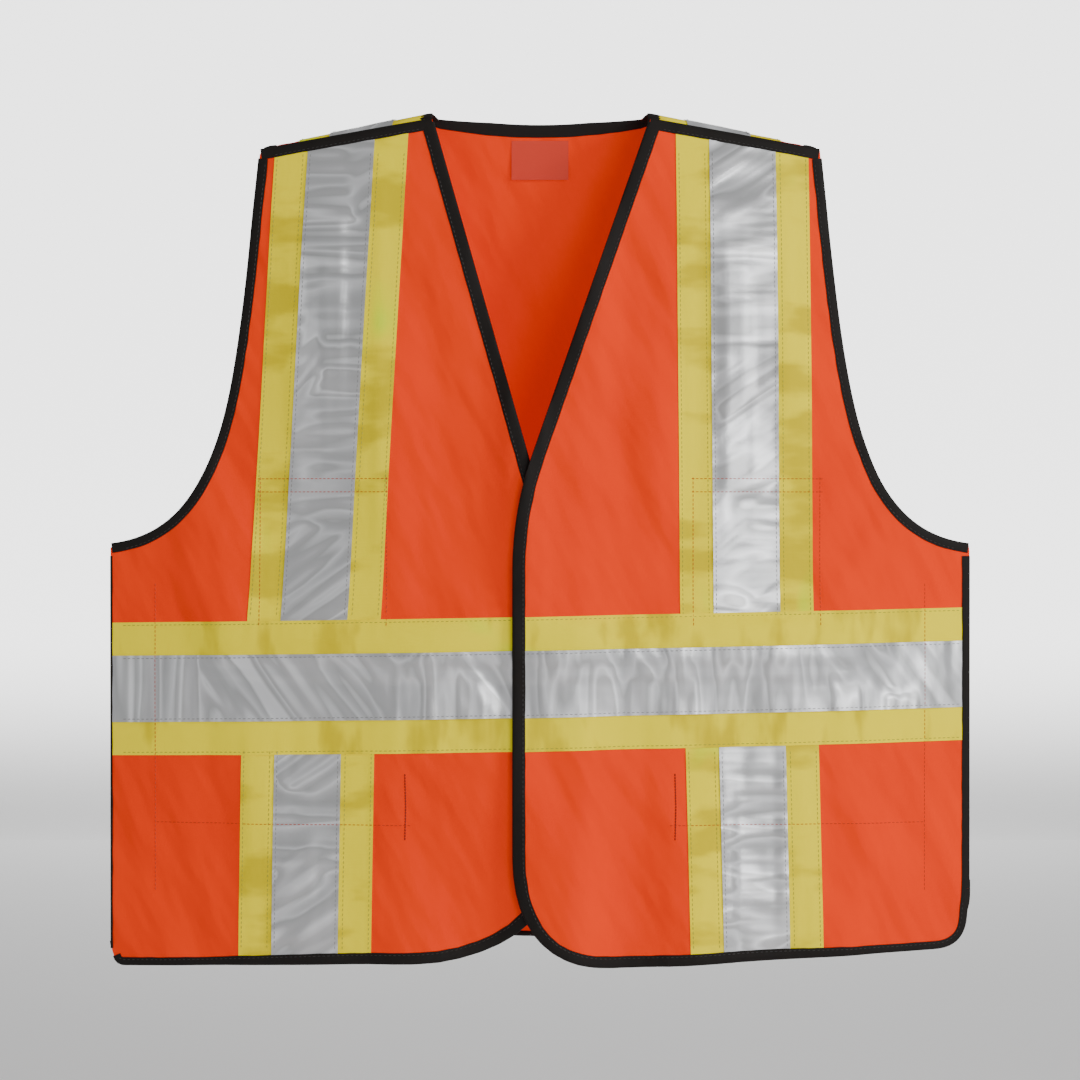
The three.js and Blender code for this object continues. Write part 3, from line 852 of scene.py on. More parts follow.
class Drape:
    """How far the hanging cloth leaves its even shape, by a cloth simulation of each sheet."""

    columns = 61
    rows = 61
    frames = 26
    spare = 0.012
    side_held = 0.030
    top_held = 0.60
    band_held = 0.016
    gain = 1.5
    most = 7.0 * MM

    def __init__(self, body: Body) -> None:
        """Args:
            body: the vest's sizes.
        """
        self.body = body
        self.front_field = self._hang("front", -1)
        self.back_field = self._hang("back", 1)

    def _hang(self, name: str, outward: int) -> np.ndarray:
        """Hang one sheet with a little spare cloth and read off its folds.

        Args:
            name: the sheet's name.
            outward: the sign of Y outwards.

        Returns:
            How far each place of the table moves along Y.
        """
        body = self.body
        xs = np.linspace(-body.half_width, body.half_width, self.columns)
        hs = np.linspace(0, body.neck_height, self.rows)
        wide, high = np.meshgrid(xs, hs)
        uneven = 0.4 * MM * np.sin(wide * 61 + high * 23)
        deep = outward * (body.bulge(wide) - body.inset(high)) + uneven
        start = np.stack([wide.ravel(), deep.ravel(), high.ravel()], axis=1)
        index = np.arange(self.rows * self.columns).reshape(self.rows, self.columns)
        quads = np.stack([
            index[:-1, :-1].ravel(), index[:-1, 1:].ravel(), index[1:, 1:].ravel(), index[1:, :-1].ravel(),
        ], axis=1)
        mesh = bpy.data.meshes.new(f"drape_{name}")
        mesh.from_pydata(start.tolist(), [], quads.tolist())
        hung = bpy.data.objects.new(f"drape_{name}", mesh)
        bpy.context.scene.collection.objects.link(hung)
        held = (np.abs(wide) > body.half_width - self.side_held) | (high > self.top_held)
        held |= np.abs(high - body.band_height) < self.band_held
        pins = hung.vertex_groups.new(name="held")
        pins.add(index[held].tolist(), 1.0, "REPLACE")
        cloth = hung.modifiers.new("Cloth", "CLOTH")
        cloth.settings.quality = 6
        cloth.settings.mass = 0.12
        cloth.settings.vertex_group_mass = "held"
        cloth.settings.shrink_min = -self.spare
        cloth.settings.bending_stiffness = 0.25
        cloth.settings.tension_stiffness = 12
        cloth.settings.compression_stiffness = 12
        cloth.settings.air_damping = 3
        cloth.collision_settings.use_collision = False
        scene = bpy.context.scene
        cloth.point_cache.frame_start, cloth.point_cache.frame_end = 1, self.frames
        for number in range(1, self.frames + 1):
            scene.frame_set(number)
        ready = hung.evaluated_get(bpy.context.evaluated_depsgraph_get())
        after = np.array([tuple(v.co) for v in ready.data.vertices])
        scene.frame_set(1)
        bpy.data.objects.remove(hung)
        bpy.data.meshes.remove(mesh)
        moved = (after[:, 1] - start[:, 1]).reshape(self.rows, self.columns)
        folds = self._blurred(moved, 2) - 0.85 * self._blurred(moved, 60)
        log.info("drape %s: from %.1f to %.1f mm", name, folds.min() / MM, folds.max() / MM)
        return self.most * np.tanh(self.gain * folds / self.most)

    @staticmethod
    def _blurred(table: np.ndarray, times: int) -> np.ndarray:
        """Average each place of a table with its neighbours.

        Args:
            table: the table.
            times: how many times over.

        Returns:
            The smoother table.
        """
        for _ in range(times):
            padded = np.pad(table, 1, mode="edge")
            beside = padded[:-2, 1:-1] + padded[2:, 1:-1] + padded[1:-1, :-2] + padded[1:-1, 2:]
            table = (beside + 2 * table) / 6
        return table

    @staticmethod
    def _pulls(x: np.ndarray, h: np.ndarray, seed: float) -> np.ndarray:
        """Soft slanting folds and small dents that handling leaves in the cloth.

        Args:
            x: flat places across.
            h: their heights.
            seed: sets one sheet's folds apart from the other's.

        Returns:
            The move along Y at each place.
        """
        slant = np.array([
            noise.noise(Vector((7.5 * (a + 0.55 * b), 2.6 * (b - 0.55 * a), seed))) for a, b in zip(x, h)
        ])
        dents = np.array([noise.noise(Vector((19 * a, 13 * b, seed + 5))) for a, b in zip(x, h)])
        return 5.5 * MM * slant + 2.2 * MM * dents

    def _read(self, table: np.ndarray, x: np.ndarray, h: np.ndarray) -> np.ndarray:
        """Read a table at flat places, with an even run between its own places.

        Args:
            table: the table.
            x: flat places across.
            h: their heights.

        Returns:
            The table's value at each place.
        """
        body = self.body
        across = np.clip((x / body.half_width + 1) / 2 * (self.columns - 1), 0, self.columns - 1.001)
        up = np.clip(h / body.neck_height * (self.rows - 1), 0, self.rows - 1.001)
        i, j = across.astype(int), up.astype(int)
        u, v = smooth_step(across - i), smooth_step(up - j)
        low = table[j, i] * (1 - u) + table[j, i + 1] * u
        high = table[j + 1, i] * (1 - u) + table[j + 1, i + 1] * u
        return low * (1 - v) + high * v

    def _fade(self, x: np.ndarray, h: np.ndarray) -> np.ndarray:
        """1 in the open cloth and 0 at the side folds and the shoulders."""
        sides = smooth_step((self.body.half_width - 0.045 - np.abs(x)) / 0.05)
        return sides * smooth_step((0.615 - h) / 0.06)

    def front(self, x: np.ndarray, h: np.ndarray) -> np.ndarray:
        """The front sheet's move along Y."""
        return (self._read(self.front_field, x, h) + self._pulls(x, h, 2.0)) * self._fade(x, h)

    def back(self, x: np.ndarray, h: np.ndarray) -> np.ndarray:
        """The back sheet's move along Y."""
        return (self._read(self.back_field, x, h) + self._pulls(x, h, 9.0)) * self._fade(x, h)


@dataclass(frozen=True)
class FrontShell:
    """Where flat places of a front lie. The left front steps out over the right one."""

    body: Body
    drape: Drape
    side: Side

    def face(self, x: np.ndarray, h: np.ndarray) -> np.ndarray:
        """Find the cloth's inner face.

        Args:
            x: flat places across.
            h: their heights.

        Returns:
            Y at each place.
        """
        body = self.body
        even = body.inset(h) - body.bulge(x) - body.standoff + self.drape.front(x, h)
        if self.side is Side.RIGHT:
            return even
        span = body.raise_end - body.raise_start
        return even - body.over_raise * (1 - smooth_step((x - body.raise_start) / span))

    def place(self, flat: np.ndarray, out: np.ndarray | float) -> np.ndarray:
        """Turn flat places into places in the frame.

        Args:
            flat: the flat places.
            out: how far outwards each one is from the cloth's inner face.

        Returns:
            Places in the frame.
        """
        x, h = flat[:, 0], flat[:, 1]
        return np.stack([x, self.face(x, h) - out, h - self.body.origin_height], axis=1)


@dataclass(frozen=True)
class BackShell:
    """Where flat places of the back lie. Heights past the crest run over the shoulder."""

    body: Body
    drape: Drape

    def arch(self, x: np.ndarray) -> tuple[np.ndarray, np.ndarray, np.ndarray, np.ndarray]:
        """The shoulder's arch at x.

        Args:
            x: places along the shoulder.

        Returns:
            The height where it starts, its middle in Y, its half span and its length.
        """
        body = self.body
        start = body.crest(x) - body.arch_rise
        behind = body.bulge(x) + 0.3 * MM - body.inset(start)
        before = body.inset(start) - body.bulge(x) - body.standoff + body.tab_depth
        half = (behind - before) / 2
        length = math.pi * np.sqrt((half**2 + body.arch_rise**2) / 2)
        return start, (behind + before) / 2, half, length

    def tab_end(self, x: np.ndarray, below_crest: float) -> np.ndarray:
        """The flat height of places in front of the shoulder, a distance below its crest."""
        _, _, _, length = self.arch(x)
        return self.body.crest(x) - 2 * self.body.arch_rise + length + below_crest

    def place(self, flat: np.ndarray, out: np.ndarray | float) -> np.ndarray:
        """Turn flat places into places in the frame.

        Args:
            flat: the flat places.
            out: how far outwards each one is from the cloth's inner face.

        Returns:
            Places in the frame.
        """
        body = self.body
        x, h = flat[:, 0], flat[:, 1]
        start, middle, half, length = self.arch(x)
        past = h - start
        angle = np.clip(past / length, 0, 1) * math.pi
        behind = body.bulge(x) + 0.3 * MM - body.inset(h) + self.drape.back(x, h)
        lower = start - np.maximum(past - length, 0)
        before = body.inset(lower) - body.bulge(x) - body.standoff + body.tab_depth
        over = middle + half * np.cos(angle)
        y = np.where(past <= 0, behind, np.where(past >= length, before, over))
        z = np.where(past <= 0, h, np.where(past >= length, lower, start + body.arch_rise * np.sin(angle)))
        steep = np.sin(angle)
        flatness = np.cos(angle)
        return np.stack([x, y + out * flatness, z + out * steep - body.origin_height], axis=1)


Shell = Union[FrontShell, BackShell]


# ---- pieces ----------------------------------------------------------------------------------


def solid(name: str, places: np.ndarray, faces: list, material: bpy.types.Material) -> bpy.types.Object:
    """Make a closed mesh object, smooth but for its sharp corners.

    Args:
        name: the piece's name.
        places: its corners.
        faces: its faces, in any direction.
        material: its finish.

    Returns:
        The object.
    """
    mesh = bpy.data.meshes.new(name)
    mesh.from_pydata(places.tolist(), [], faces)
    work = bmesh.new()
    work.from_mesh(mesh)
    bmesh.ops.recalc_face_normals(work, faces=work.faces)
    work.to_mesh(mesh)
    work.free()
    mesh.shade_smooth()
    mesh.set_sharp_from_angle(angle=math.radians(55))
    mesh.materials.append(material)
    piece = bpy.data.objects.new(name, mesh)
    bpy.context.scene.collection.objects.link(piece)
    return piece


def measured(offset: Offset, flat: np.ndarray) -> np.ndarray:
    """An offset at flat places, whether it is a number or a function."""
    return offset(flat) if callable(offset) else np.full(len(flat), offset)


class Rise:
    """A distance outwards from the cloth, as a sum of numbers and functions of flat places."""

    def __init__(self, *terms: Offset) -> None:
        """Keep the terms of the sum."""
        self.terms = terms

    def __call__(self, flat: np.ndarray) -> np.ndarray:
        """The distance at flat places."""
        return sum(measured(term, flat) for term in self.terms)

    def __add__(self, other: Offset) -> "Rise":
        """This distance with another on top."""
        return Rise(*self.terms, other)


@dataclass(frozen=True)
class Creases:
    """Creases of a tape, as a distance outwards, which calm may hold down near its ends."""

    amount: float
    grain: Grain
    size: float
    seed: float
    calm: Callable[[np.ndarray, Grain], np.ndarray] | None = None

    def __call__(self, flat: np.ndarray) -> np.ndarray:
        """The creases' height at flat places."""
        share = 1.0 if self.calm is None else self.calm(flat, self.grain)
        return self.amount * share * crumple(flat, self.grain.value, self.size, self.seed)


def sheet(
    name: str, region: Region, shell: Shell, inner: Offset, outer: Offset,
    material: bpy.types.Material,
) -> bpy.types.Object:
    """Make a layer of cloth or tape over a flat region.

    Args:
        name: the piece's name.
        region: its flat shape.
        shell: what it lies on.
        inner: how far out its inner face is.
        outer: how far out its outer face is.
        material: its finish.

    Returns:
        The object.
    """
    flat, count = region.places, len(region.places)
    low = shell.place(flat, measured(inner, flat))
    top = shell.place(flat, measured(outer, flat))
    under = [tuple(reversed(face)) for face in region.faces]
    over = [tuple(i + count for i in face) for face in region.faces]
    rim = [(a, b, b + count, a + count) for a, b in region.rim()]
    return solid(name, np.concatenate([low, top]), under + over + rim, material)


def skin(rings: int, sides: int) -> list[tuple]:
    """The faces that join closed rings of places, each to the next.

    Args:
        rings: how many rings there are.
        sides: how many places each ring has.

    Returns:
        The faces, without the two ends.
    """
    return [
        (i * sides + k, i * sides + (k + 1) % sides, (i + 1) * sides + (k + 1) % sides, (i + 1) * sides + k)
        for i in range(rings - 1)
        for k in range(sides)
    ]


CLOTH_TOP_MM = 0.6
BINDING_SECTION_MM = (
    (1.0, 0.66), (0.985, 1.05), (0.80, 1.32), (0.45, 1.40), (0.12, 1.34), (-0.06, 1.02),
    (-0.10, 0.30), (-0.06, -0.42), (0.12, -0.74), (0.45, -0.80), (0.80, -0.72), (0.985, -0.45),
    (1.0, -0.06), (0.5, -0.05), (0.02, -0.04), (0.0, 0.30), (0.02, 0.64), (0.5, 0.65),
)


def bound_edge(
    name: str, edge: np.ndarray, shell: Shell, width: float, material: bpy.types.Material,
    lift: Offset = 0.0, shown: Offset = 1.0, inside: float = 1.0,
) -> bpy.types.Object:
    """Fold a binding over an edge of the cloth, a little puckered by its seam.

    Args:
        name: the piece's name.
        edge: the edge, with the cloth on its left.
        shell: what the cloth lies on.
        width: how far the binding reaches in.
        material: its finish.
        lift: how much further out its outer leg stands over tapes.
        shown: how much of the width its outer leg covers.
        inside: how much of the width its inner leg covers.

    Returns:
        The object.
    """
    line = spaced(edge, 3 * MM)
    normals = inward_normals(line)
    rings = []
    for inward, out in BINDING_SECTION_MM:
        outside = out > CLOTH_TOP_MM
        pucker = np.array([noise.noise(Vector((x * 90, h * 90, inward * 2))) for x, h in line])
        share = measured(shown, line) if outside else inside if out < 0 else 1.0
        reach = inward * width * share + 0.35 * MM * pucker * (inward > 0.7)
        flat = line + normals * reach[:, None]
        height = out * MM + 0.16 * MM * pucker * outside
        if outside and inward > 0.05:
            height = height + measured(lift, flat)
        rings.append(shell.place(flat, height))
    sides, count = len(rings), len(line)
    places = np.stack(rings, axis=1).reshape(-1, 3)
    ends = [tuple(range(sides)), tuple((count - 1) * sides + k for k in range(sides))]
    return solid(name, places, skin(count, sides) + ends, material)


@dataclass(frozen=True)
class Seam:
    """A row of stitches along a flat line."""

    line: np.ndarray
    out: Offset
    pitch: float = 3.6 * MM
    length: float = 2.7 * MM
    width: float = 0.55 * MM


def stitched(name: str, seams: list[Seam], shell: Shell, material: bpy.types.Material) -> bpy.types.Object:
    """Make every stitch of some seams as one piece.

    Args:
        name: the piece's name.
        seams: the rows of stitches.
        shell: what they are sewn through.
        material: the thread's finish.

    Returns:
        The object.
    """
    corners, faces = [], []
    for seam in seams:
        line = spaced(seam.line, seam.pitch)
        square = inward_normals(line)
        along = np.stack([square[:, 1], -square[:, 0]], axis=1)
        height = measured(seam.out, line)
        half, thick = seam.length / 2, seam.width / 2
        rings = [(-half, 0.0, -0.10 * MM)]
        for step in (-0.45 * half, 0.45 * half):
            rings += [(step, -thick, 0.0), (step, 0.0, thick * 0.9), (step, thick, 0.0), (step, 0.0, -thick)]
        rings.append((half, 0.0, -0.10 * MM))
        parts = [
            shell.place(line + along * a + square * b, height + c) for a, b, c in rings
        ]
        block = np.stack(parts, axis=1)
        for places in block:
            n = len(corners) * 10
            corners.append(places)
            for k in range(4):
                after = (k + 1) % 4
                faces.append((n, n + 1 + k, n + 1 + after))
                faces.append((n + 1 + k, n + 5 + k, n + 5 + after, n + 1 + after))
                faces.append((n + 9, n + 5 + after, n + 5 + k))
    return solid(name, np.concatenate(corners), faces, material)


def dressed(piece: bpy.types.Object, body: str, slot: Slot, *nodes: str) -> bpy.types.Object:
    """Hang a piece on its body and hide the CAD nodes that it stands for.

    Args:
        piece: the piece.
        body: the body that it moves with.
        slot: not used.
        nodes: the CAD nodes that it replaces.

    Returns:
        The piece.
    """
    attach(piece, body)
    if nodes:
        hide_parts(*nodes)
    log.info("%s: %d corners on %s", piece.name, len(piece.data.vertices), body)
    return piece


def flat_area(region: Region) -> float:
    """Add up the area of a flat region.

    Args:
        region: the region.

    Returns:
        Its area in square metres.
    """
    total = 0.0
    for face in region.faces:
        corners = region.places[list(face)]
        x, h = corners[:, 0], corners[:, 1]
        total += 0.5 * float(np.dot(x, np.roll(h, -1)) - np.dot(h, np.roll(x, -1)))
    return abs(total)


def declare_cloth(
    region: Region, rests_on: list[str],
) -> None:
    """Work out a sheet's flat size and area; neither is kept.

    Args:
        region: its flat shape.
        rests_on: not used.
    """
    size = region.places.max(axis=0) - region.places.min(axis=0)
    area = min(flat_area(region), float(size[0] * size[1]))


# ---- the fronts ------------------------------------------------------------------------------


@dataclass(frozen=True)
class FrontPlan:
    """One front's own cut. Places are as on the left side, and the right front mirrors them."""

    side: Side
    neck_x: float
    neck_drop: float
    corner_height: float
    hem_centre: float
    hem_side: float
    tape_top: float
    tape_waist: float
    tape_lower: float
    tape_bottom: float
    overlap_half: float = 0.020
    shoulder_drop: float = 1.6 * MM
    side_gap: float = 1.3 * MM
    side_ease: float = 0.022
    centre_ease: float = 0.088
    hem_stop: float = 0.1 * MM
    side_binding_shown: float = 0.6


LEFT_PLAN = FrontPlan(
    side=Side.LEFT, neck_x=0.084, neck_drop=0.0065, corner_height=0.350, hem_centre=0.002,
    hem_side=0.017, tape_top=0.154, tape_waist=0.157, tape_lower=0.161, tape_bottom=0.165,
)
RIGHT_PLAN = FrontPlan(
    side=Side.RIGHT, neck_x=0.082, neck_drop=0.0065, corner_height=0.288, hem_centre=0.012,
    hem_side=0.003, tape_top=0.150, tape_waist=0.171, tape_lower=0.176, tape_bottom=0.179,
    side_ease=0.006, centre_ease=0.115, hem_stop=0.006, side_binding_shown=0.12,
)


@dataclass
class Front:
    """One front: cloth, binding, tapes, pockets, closures and their stitching."""

    plan: FrontPlan
    body: Body
    shell: FrontShell
    wardrobe: Wardrobe
    binding_width: float = 9 * MM
    lime_thick: float = 0.45 * MM
    silver_thick: float = 0.35 * MM
    layer_gap: float = 0.06 * MM
    lime_crease: float = 0.35 * MM
    crease_size: float = 0.021
    silver_crease: float = 1.0 * MM
    cell: float = 5.5 * MM
    tape_cell: float = 3.0 * MM
    tuck: float = 0.014
    edges: dict = field(default_factory=dict)

    @property
    def word(self) -> str:
        """The side's word."""
        return self.plan.side.word

    @property
    def seed(self) -> float:
        """The number that sets this front's creases apart from the other's."""
        return 3.0 if self.plan.side is Side.LEFT else 11.0

    @property
    def rigid(self) -> str:
        """The body that this front moves with."""
        return f"{self.word}_front"

    def _turn(self, edge: np.ndarray) -> np.ndarray:
        """An edge drawn for the left side, on this front's side."""
        return edge if self.plan.side is Side.LEFT else mirrored(edge)

    def cut(self) -> None:
        """Work out the four edges of the cloth."""
        plan, body = self.plan, self.body
        side_x = body.half_width - plan.side_gap
        neck = (plan.neck_x, body.neck_height - plan.neck_drop)
        arm_top = body.shoulder_height - plan.shoulder_drop
        side_start = plan.hem_side + 2 * plan.side_ease
        opening = eased(points(
            neck, (-plan.overlap_half, plan.corner_height), (-plan.overlap_half, plan.hem_centre),
            (side_x - 0.004, plan.hem_side), (side_x, side_start),
        ), [0.045, plan.centre_ease, plan.side_ease])
        self.edges = {
            "opening": self._turn(opening),
            "side": self._turn(points((side_x, side_start), (side_x, body.underarm_height))),
            "arm": self._turn(body.armhole(side_x, arm_top, 0.0)),
            "shoulder": self._turn(points((body.shoulder_half_width, arm_top), neck)),
        }

    def outline(self) -> np.ndarray:
        """The cloth's closed outline."""
        order = ["opening", "side", "arm", "shoulder"]
        if self.plan.side is Side.RIGHT:
            order = ["shoulder", "arm", "side", "opening"]
        return np.concatenate([self.edges[name][:-1] for name in order])

    def tape_x(self, h: np.ndarray) -> np.ndarray:
        """Where the middle of the vertical tapes is at a height."""
        plan, body = self.plan, self.body
        half = body.lime_width / 2
        heights = [0, body.band_height - half, body.band_height + half, body.neck_height]
        places = [plan.tape_bottom, plan.tape_lower, plan.tape_waist, plan.tape_top]
        return plan.side.sign * np.interp(h, heights, places)

    def vertical(self, bottom: Offset, top: Offset, width: float) -> Region:
        """A vertical tape between two edges that may slope.

        Args:
            bottom: its lower end's height, which may depend on x.
            top: its upper end's height, which may depend on x.
            width: its width.

        Returns:
            Its flat region.
        """
        columns = int(round(width / self.tape_cell))
        rows = []
        for across in np.linspace(width / 2, -width / 2, columns + 1):
            middle_low, middle_high = np.array([0.1]), np.array([0.5])
            low_x = self.tape_x(middle_low) + across
            high_x = self.tape_x(middle_high) + across
            low = float(measured(bottom, low_x)[0]) if callable(bottom) else bottom
            high = float(measured(top, high_x)[0]) if callable(top) else top
            h = np.linspace(low, high, int(round((high - low) / self.tape_cell)) + 1)
            rows.append((h, across))
        count = max(len(h) for h, _ in rows)
        grid_rows = []
        for h, across in rows:
            even = np.linspace(h[0], h[-1], count)
            grid_rows.append(np.stack([self.tape_x(even) + across, even], axis=1))
        return grid(grid_rows)

    def hem_height(self, x: np.ndarray) -> np.ndarray:
        """The hem's height at x, away from its rounded ends."""
        plan = self.plan
        share = np.clip(np.abs(x) / self.body.half_width, 0, 1)
        return plan.hem_centre + (plan.hem_side - plan.hem_centre) * share

    def shoulder_edge(self, x: np.ndarray) -> np.ndarray:
        """The height of the cloth's shoulder edge at x."""
        plan, body = self.plan, self.body
        share = (np.abs(x) - plan.neck_x) / (body.shoulder_half_width - plan.neck_x)
        high = body.neck_height - plan.neck_drop
        return high + (body.shoulder_height - plan.shoulder_drop - high) * share

    def band(self, width: float) -> Region:
        """The waist band, from the closure to the side binding."""
        body = self.body
        plan = self.plan
        inner = -plan.overlap_half + 1 * MM if plan.side is Side.LEFT else plan.overlap_half - 0.0115
        outer = body.half_width - 2 * MM
        ends = [inner, outer] if plan.side is Side.LEFT else [-outer, inner - 0.02]
        x = np.linspace(*ends, int(round((ends[1] - ends[0]) / self.tape_cell)) + 1)
        rows = int(round(width / self.tape_cell))
        across = np.linspace(-width / 2, width / 2, rows + 1)
        return grid([np.stack([x, body.band_centre(x) + d], axis=1) for d in across])

    def within_tape(self, flat: np.ndarray, width: float) -> np.ndarray:
        """1 on a vertical tape of a width and 0 beside it, with a short slope at its edges."""
        aside = np.abs(flat[:, 0] - self.tape_x(flat[:, 1]))
        return smooth_step((width / 2 + 2 * MM - aside) / (4 * MM))

    def within_band(self, flat: np.ndarray, width: float) -> np.ndarray:
        """1 on the waist band and 0 away from it."""
        aside = np.abs(flat[:, 1] - self.body.band_centre(flat[:, 0]))
        return smooth_step((width / 2 + 2 * MM - aside) / (4 * MM))

    def band_lift(self, flat: np.ndarray) -> np.ndarray:
        """How much the band stands out over the ends of the vertical tapes."""
        aside = np.abs(flat[:, 1] - self.body.band_centre(flat[:, 0]))
        near_edge = smooth_step((aside - (self.body.lime_width / 2 - self.tuck - 6 * MM)) / (5 * MM))
        lime = self.within_tape(flat, self.body.lime_width) * (self.lime_thick + self.layer_gap)
        silver = self.within_tape(flat, self.body.silver_width) * (self.silver_thick + self.layer_gap)
        return near_edge * (lime + silver)

    def top(self, flat: np.ndarray) -> np.ndarray:
        """How far out the outermost layer is, over cloth and tapes."""
        body = self.body
        below = flat[:, 1] < body.band_height
        lime = self.lime_thick + self.layer_gap
        silver = self.silver_thick + self.layer_gap
        seeds = (self.seed, self.seed + 2.0)
        upper, lower = (self.crease(lime, self.lime_crease, Grain.UPRIGHT, s)(flat) for s in seeds)
        vertical = self.within_tape(flat, body.lime_width) * np.where(below, lower, upper)
        upper, lower = (self.crease(silver, self.silver_crease, Grain.UPRIGHT, s + 0.5)(flat) for s in seeds)
        vertical = vertical + self.within_tape(flat, body.silver_width) * np.where(below, lower, upper)
        level = self.crease(lime, self.lime_crease, Grain.LEVEL, self.seed + 5.0)(flat)
        shiny = self.crease(silver, self.silver_crease, Grain.LEVEL, self.seed + 6.0)(flat)
        band = self.within_band(flat, body.lime_width) * (level + self.band_lift(flat))
        band = band + self.within_band(flat, body.silver_width) * shiny
        return body.cloth + np.maximum(vertical, band)

    def calm(self, flat: np.ndarray, grain: Grain) -> np.ndarray:
        """1 in the open run of a tape and 0 where its ends are tucked or bound.

        Args:
            flat: flat places.
            grain: the way the tape runs.

        Returns:
            The share of its creases that each place keeps.
        """
        x, h = flat[:, 0], flat[:, 1]
        reach = 9 * MM
        if grain is Grain.UPRIGHT:
            band = np.abs(h - self.body.band_centre(x)) - self.body.lime_width / 2 - 1 * MM
            low = h - self.hem_height(x) - 11 * MM
            high = self.shoulder_edge(x) - 11 * MM - h
            return smooth_step(band / reach) * smooth_step(low / reach) * smooth_step(high / reach)
        aside = self.body.half_width - 12 * MM - np.abs(x)
        middle = self.plan.side.sign * x + self.plan.overlap_half - 11 * MM
        return smooth_step(aside / reach) * smooth_step(middle / reach)

    def crease(self, base: Offset, amount: float, grain: Grain, seed: float) -> Rise:
        """A face at an offset, raised by creases.

        Args:
            base: the face without creases.
            amount: the creases' height.
            grain: the way the tape runs.
            seed: moves the pattern.

        Returns:
            The face as a function of flat places.
        """
        return Rise(base, Creases(amount, grain, self.crease_size, seed, self.calm))

    def build_tapes(self) -> list[bpy.types.Object]:
        """Make the six tapes.

        Returns:
            The tapes.
        """
        body, word, wear = self.body, self.word, self.wardrobe
        seed, soft, sharp = self.seed, self.lime_crease, self.silver_crease
        half = body.lime_width / 2
        lime_in = body.cloth + self.layer_gap
        silver_in = lime_in + self.lime_thick + self.layer_gap
        made = []

        def lay(name: str, region: Region, inner: Offset, thick: float, crease: float,
                material: bpy.types.Material, slot: Slot, grain: Grain, shift: float) -> None:
            """Make one tape from its flat region."""
            face = self.crease(Rise(inner, thick), crease, grain, seed + shift)
            piece = sheet(f"{name}_cloth", region, self.shell, inner, face, material)
            made.append(dressed(piece, self.rigid, slot, name))

        def upper_end(x: np.ndarray) -> np.ndarray:
            """The cloth's shoulder edge, less what the binding covers."""
            return self.shoulder_edge(x) - 4 * MM

        def lower_end(x: np.ndarray) -> np.ndarray:
            """The hem, plus what the binding covers."""
            return self.hem_height(x) + 4 * MM

        band_top = body.band_height + half - self.tuck
        band_bottom = body.band_height - half + self.tuck
        for span, ends, shift in (
            ("upper", (band_top, upper_end), 0.0), ("lower", (lower_end, band_bottom), 2.0),
        ):
            lay(f"{word}_{span}_lime_tape", self.vertical(*ends, body.lime_width), lime_in,
                self.lime_thick, soft, wear.lime[Grain.UPRIGHT], Slot.LIME, Grain.UPRIGHT, shift)
            lay(f"{word}_{span}_silver_tape", self.vertical(*ends, body.silver_width),
                self.crease(silver_in, soft, Grain.UPRIGHT, seed + shift),
                self.silver_thick, sharp, wear.silver[Grain.UPRIGHT], Slot.SILVER, Grain.UPRIGHT,
                shift + 0.5)
        lift_lime = Rise(lime_in, self.band_lift)
        level_crease = self.crease(0.0, soft, Grain.LEVEL, seed + 5.0)
        lift_silver = Rise(silver_in, self.band_lift, level_crease)
        lay(f"{word}_waist_lime_tape", self.band(body.lime_width), lift_lime, self.lime_thick,
            soft, wear.lime[Grain.LEVEL], Slot.LIME, Grain.LEVEL, 5.0)
        lay(f"{word}_waist_silver_tape", self.band(body.silver_width), lift_silver, self.silver_thick,
            sharp, wear.silver[Grain.LEVEL], Slot.SILVER, Grain.LEVEL, 6.0)
        return made

    def hem_share(self, flat: np.ndarray) -> np.ndarray:
        """How much of its width the opening's binding shows: less along the hem, least at its side.

        Args:
            flat: flat places.

        Returns:
            The share at each place.
        """
        last = max(self.plan.side_binding_shown, 0.6)
        low = smooth_step((0.050 - flat[:, 1]) / 0.035)
        aside = smooth_step((np.abs(flat[:, 0]) - 0.15) / 0.13) * smooth_step((0.12 - flat[:, 1]) / 0.02)
        return (1 - 0.12 * low) * (1 - aside) + last * aside

    def build_bindings(self) -> list[bpy.types.Object]:
        """Make the four bindings.

        Returns:
            The bindings.
        """
        lift = Rise(self.top, -self.body.cloth)
        trims = {"opening": (2 * MM, -self.plan.hem_stop), "side": (0.1 * MM, -self.binding_width),
                 "arm": (0.2 * MM, -6.5 * MM), "shoulder": (0.2 * MM, -0.2 * MM)}
        names = {"opening": "edge", "side": "side", "arm": "armhole", "shoulder": "shoulder"}
        steady = {"side": self.plan.side_binding_shown, "arm": 0.76, "shoulder": 0.86}
        made = []
        for key, label in names.items():
            start, end = trims[key]
            if self.plan.side is Side.RIGHT:
                start, end = -end, -start
            node = f"{self.word}_front_{label}_binding"
            line = stretch(spaced(self.edges[key], 1.5 * MM), start, end)
            shown = steady.get(key, self.hem_share)
            piece = bound_edge(
                f"{node}_cloth", line, self.shell, self.binding_width, self.wardrobe.binding, lift, shown
            )
            made.append(dressed(piece, self.rigid, Slot.BLACK, node))
        return made

